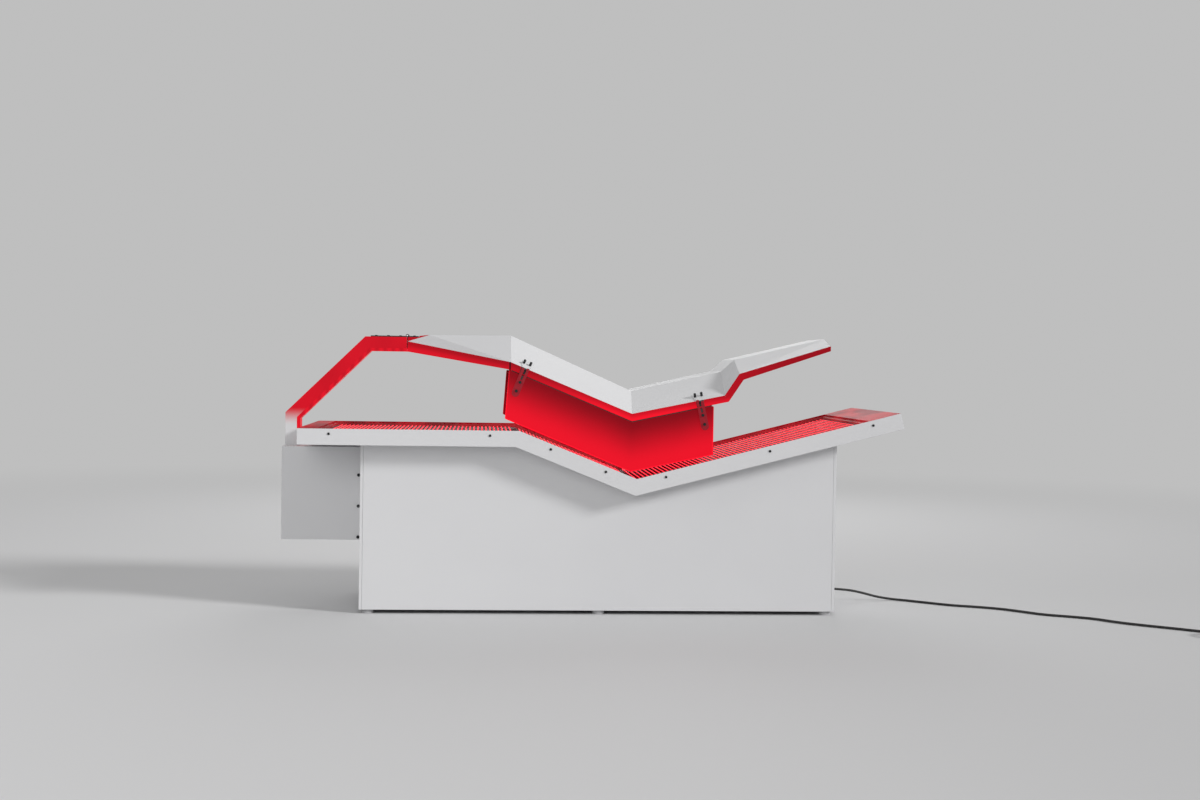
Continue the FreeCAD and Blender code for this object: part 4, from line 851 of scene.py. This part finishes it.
def make_tie(tape):
    """The tape round the coil: a flat band in a loop, which lies on the floor."""
    angle, half_width, sheet = math.radians(200.0), 0.008, 0.0013
    clear, above, corner, corner_steps = 0.0052, 0.0050, 0.004, 4
    inside_low, outside_low = 0.0014, 0.0002
    inner, outer, high = COIL_INNER - clear, COIL_OUTER + clear, COIL_HIGH + above
    edges = (
        (0.0, inside_low, -1),
        (0.0, inside_low, 1),
        (sheet, outside_low, 1),
        (sheet, outside_low, -1),
    )
    along = Vector((math.cos(angle), math.sin(angle), 0.0))
    across = Vector((-math.sin(angle), math.cos(angle), 0.0)) * half_width
    path = round_rectangle(inner, outer, 0.0, high, corner, corner_steps)
    points = []
    for (radius, height), (out, up) in path:
        for layer, lowest, edge in edges:
            reach = radius + out * (corner + layer)
            level = max(height + up * (corner + layer), lowest)
            points.append(COIL_CENTRE + along * reach + across * edge + Vector((0.0, 0.0, level)))
    faces = skin(0, len(path), len(edges), closed=True)
    tie = piece_from("cord_tie", points, faces, "base", "black_plastic", tape)
    face_outward(tie)
    return tie


# Trim

def make_guards(steel):
    """Wire guards over the two fans: rings under four flat spokes, seated on the far panel."""
    rings, wire = (0.0582, 0.0450, 0.0318, 0.0186), 0.0012
    spokes, reach, half_width, sheet = (45.0, 135.0, 225.0, 315.0), 0.0640, 0.0020, 0.0016
    panel_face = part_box("far_panel")[1].y
    fans = [joint["pos_m"] for joint in frame["joints"] if joint["name"].endswith("fan_spin")]
    points, faces = [], []
    for fan in fans:
        middle = Vector((fan[0], panel_face + wire, fan[2]))
        for radius in rings:
            add_ring(points, faces, middle, radius, wire)
        for spoke in spokes:
            turn = math.radians(spoke)
            along = Vector((math.cos(turn), 0.0, math.sin(turn)))
            across = Vector((-math.sin(turn), 0.0, math.cos(turn))) * half_width
            corners = []
            for depth in (wire, wire + sheet):
                plane = middle + Vector((0.0, depth, 0.0))
                near, far = plane + along * rings[-1], plane + along * reach
                corners.extend((near - across, near + across, far + across, far - across))
            add_box(points, faces, corners)
    face_outward(piece_from("fan_guards", points, faces, "base", "bright_steel", steel))


def make_gap_shade_bead(name, side, rubber):
    """A black bead along the canopy's low edge, just over a side panel: painted shade for the gap between
    them.
    """
    low_edge = (-0.2860, 0.8700), CANOPY_FOLD, (0.4385, 0.7537)
    drop, inner, outer = 0.0055, 0.2775, 0.2795
    corner, corner_steps = 0.0009, 3
    section = []
    for (across, rise), (out, up) in round_rectangle(inner, outer, -drop, 0.0, corner, corner_steps):
        section.append((side * (across + corner * out), rise + corner * up))
    points = [(x, across, z + lift) for x, z in low_edge for across, lift in section]
    count = len(section)
    faces = skin(0, len(low_edge), count, closed=False)
    faces.append(tuple(range(count)))
    faces.append(tuple(range(len(points) - count, len(points))))
    face_outward(piece_from(name, points, faces, "canopy", "black_rubber", rubber))


def make_slot_shade_strips(name, body, side, rubber):
    """Black strips on a side panel's face, in the slots of its two strap forks: painted shade that
    darkens the slots. A slot is given by its hinge pivot and the way down the fork, both (x, z)."""
    slots = ((-0.2365, 0.8727), (-0.3787, -0.9255)), ((0.3935, 0.7662), (0.2055, -0.9787))
    start, end, half_width, face, sheet = 0.0255, 0.0400, 0.0033, 0.292, 0.002
    points, faces = [], []
    for (pivot_x, pivot_z), (down_x, down_z) in slots:
        corners = []
        for depth in (face, face + sheet):
            for reach, across in ((start, -1), (start, 1), (end, 1), (end, -1)):
                x = pivot_x + down_x * reach - down_z * across * half_width
                z = pivot_z + down_z * reach + down_x * across * half_width
                corners.append((x, side * depth, z))
        add_box(points, faces, corners)
    face_outward(piece_from(name, points, faces, body, "black_rubber", rubber))


# LEDs

def top_face(node):
    """The foot and the head end of a board's upper face, on its middle line, and its half width."""
    least_up = 0.5
    mesh = NODES[node].data
    corners = []
    for face in mesh.polygons:
        if face.normal.z > least_up:
            corners.extend(mesh.vertices[index].co for index in face.vertices)
    first = min(corners, key=lambda corner: corner.x)
    last = max(corners, key=lambda corner: corner.x)
    return Vector((first.x, 0.0, first.z)), Vector((last.x, 0.0, last.z)), abs(first.y)


def led_shape():
    """Points and faces of one LED: a square package, and a lens on it. Each face has the
    number of its material."""
    points, faces = [], []
    square = ((-1, -1), (1, -1), (1, 1), (-1, 1))
    for height in (0.0, LED_BASE):
        points.extend((LED_HALF * x, LED_HALF * y, height) for x, y in square)
    faces.append(((4, 5, 6, 7), 0))
    faces.extend((face, 0) for face in skin(0, 2, len(square), closed=False))
    low = len(points)
    for radius, height in ((LED_LENS_RADIUS, LED_BASE), (LED_LENS_TIP, LED_LENS_TOP)):
        for number in range(LED_LENS_SIDES):
            turn = 2.0 * math.pi * number / LED_LENS_SIDES
            points.append((radius * math.cos(turn), radius * math.sin(turn), height))
    faces.extend((face, 1) for face in skin(low, 2, LED_LENS_SIDES, closed=False))
    faces.append((tuple(range(low + LED_LENS_SIDES, len(points))), 1))
    return points, faces


def make_leds(name, board, package, lens):
    """Rows of LEDs on a board's upper face."""
    foot, head, half_width = top_face(board)
    length = (head - foot).length
    along = (head - foot).normalized()
    up = Vector((-along.z, 0.0, along.x))
    columns = int((length - 2 * LED_MARGIN) / LED_PITCH)
    rows = int(2 * (half_width - LED_MARGIN) / LED_PITCH)
    start = (length - columns * LED_PITCH) / 2
    shape, sides = led_shape()
    points, faces, slots = [], [], []
    for column in range(columns + 1):
        for row in range(rows + 1):
            across = (row - rows / 2) * LED_PITCH
            middle = foot + along * (start + column * LED_PITCH) + Vector((0.0, across, 0.0))
            first = len(points)
            points.extend(middle + along * x + Vector((0.0, y, 0.0)) + up * z for x, y, z in shape)
            for corners, slot in sides:
                faces.append([first + corner for corner in corners])
                slots.append(slot)
    leds = piece_from(name, points, faces, "base", "led_board", package, lens)
    leds.data.polygons.foreach_set("material_index", slots)


# The whole object

SLOT_MATERIALS = {
    "white_paint": white_paint(),
    "clear_acrylic": clear_plate(),
    "lit_diffuser": lit_diffuser(),
    "led_board": led_board(),
    "bare_sheet": bare_sheet(),
    "black_hardware": black_hardware(),
    "bright_steel": bright_steel(),
    "black_plastic": black_plastic(),
    "black_rubber": black_rubber(),
}
panel = side_panel()
strap = lit_strap_steel()
NODE_MATERIALS = {
    "arm_shell": lit_arm_paint(),
    "deck_tray": lit_rim_paint(),
    "feet": grey_foot(),
    "near_straps": strap,
    "far_straps": strap,
    "strap_leaves": leaf_paint_and_slot_shade(),
    "canopy_leg_shell": lit_band_paint(
        "lit_leg_paint",
        low_edge=(CANOPY_FOOT, CANOPY_KNEE),
        dim_x=-0.29,
        bright_x=-0.66,
        dim=0.42,
        bright=0.54,
        seam_x=KNEE_SEAM,
    ),
    "canopy_thigh_shell": lit_band_paint(
        "lit_thigh_paint",
        low_edge=(CANOPY_KNEE, CANOPY_FOLD),
        dim_x=-0.28,
        bright_x=0.14,
        dim=0.36,
        bright=0.74,
    ),
    "canopy_head_shell": lit_band_paint(
        "lit_head_paint",
        low_edge=(CANOPY_FOLD, CANOPY_NECK),
        dim_x=0.80,
        bright_x=0.15,
        dim=0.34,
        bright=0.74,
    ),
    "near_side_panel": panel,
    "far_side_panel": panel,
}


def dress_nodes():
    """Each CAD node gets the material of its slot, or its own."""
    for name, node in NODES.items():
        slot = node.data.materials[0].name.split(".")[0]
        made = NODE_MATERIALS.get(name) or SLOT_MATERIALS[slot]
        node.data.materials.clear()
        node.data.materials.append(made)


rubber = SLOT_MATERIALS["black_rubber"]
make_camera()
cord = make_cord(rubber)
tie = make_tie(woven_tie())
make_world()
make_lamps()
make_floor()
dress_nodes()
package = led_package()
lens = led_lens()
for part in ("leg", "thigh", "back"):
    make_leds(part + "_leds", part + "_board", package, lens)
# Painted shade: black beads in the gaps under the canopy's edges, and black strips in the forks' slots
for name, side in (("near", -1), ("far", 1)):
    make_gap_shade_bead(name + "_gap_shade_bead", side, rubber)
    make_slot_shade_strips(name + "_slot_shade_strips", name + "_side_panel", side, rubber)
make_guards(SLOT_MATERIALS["bright_steel"])
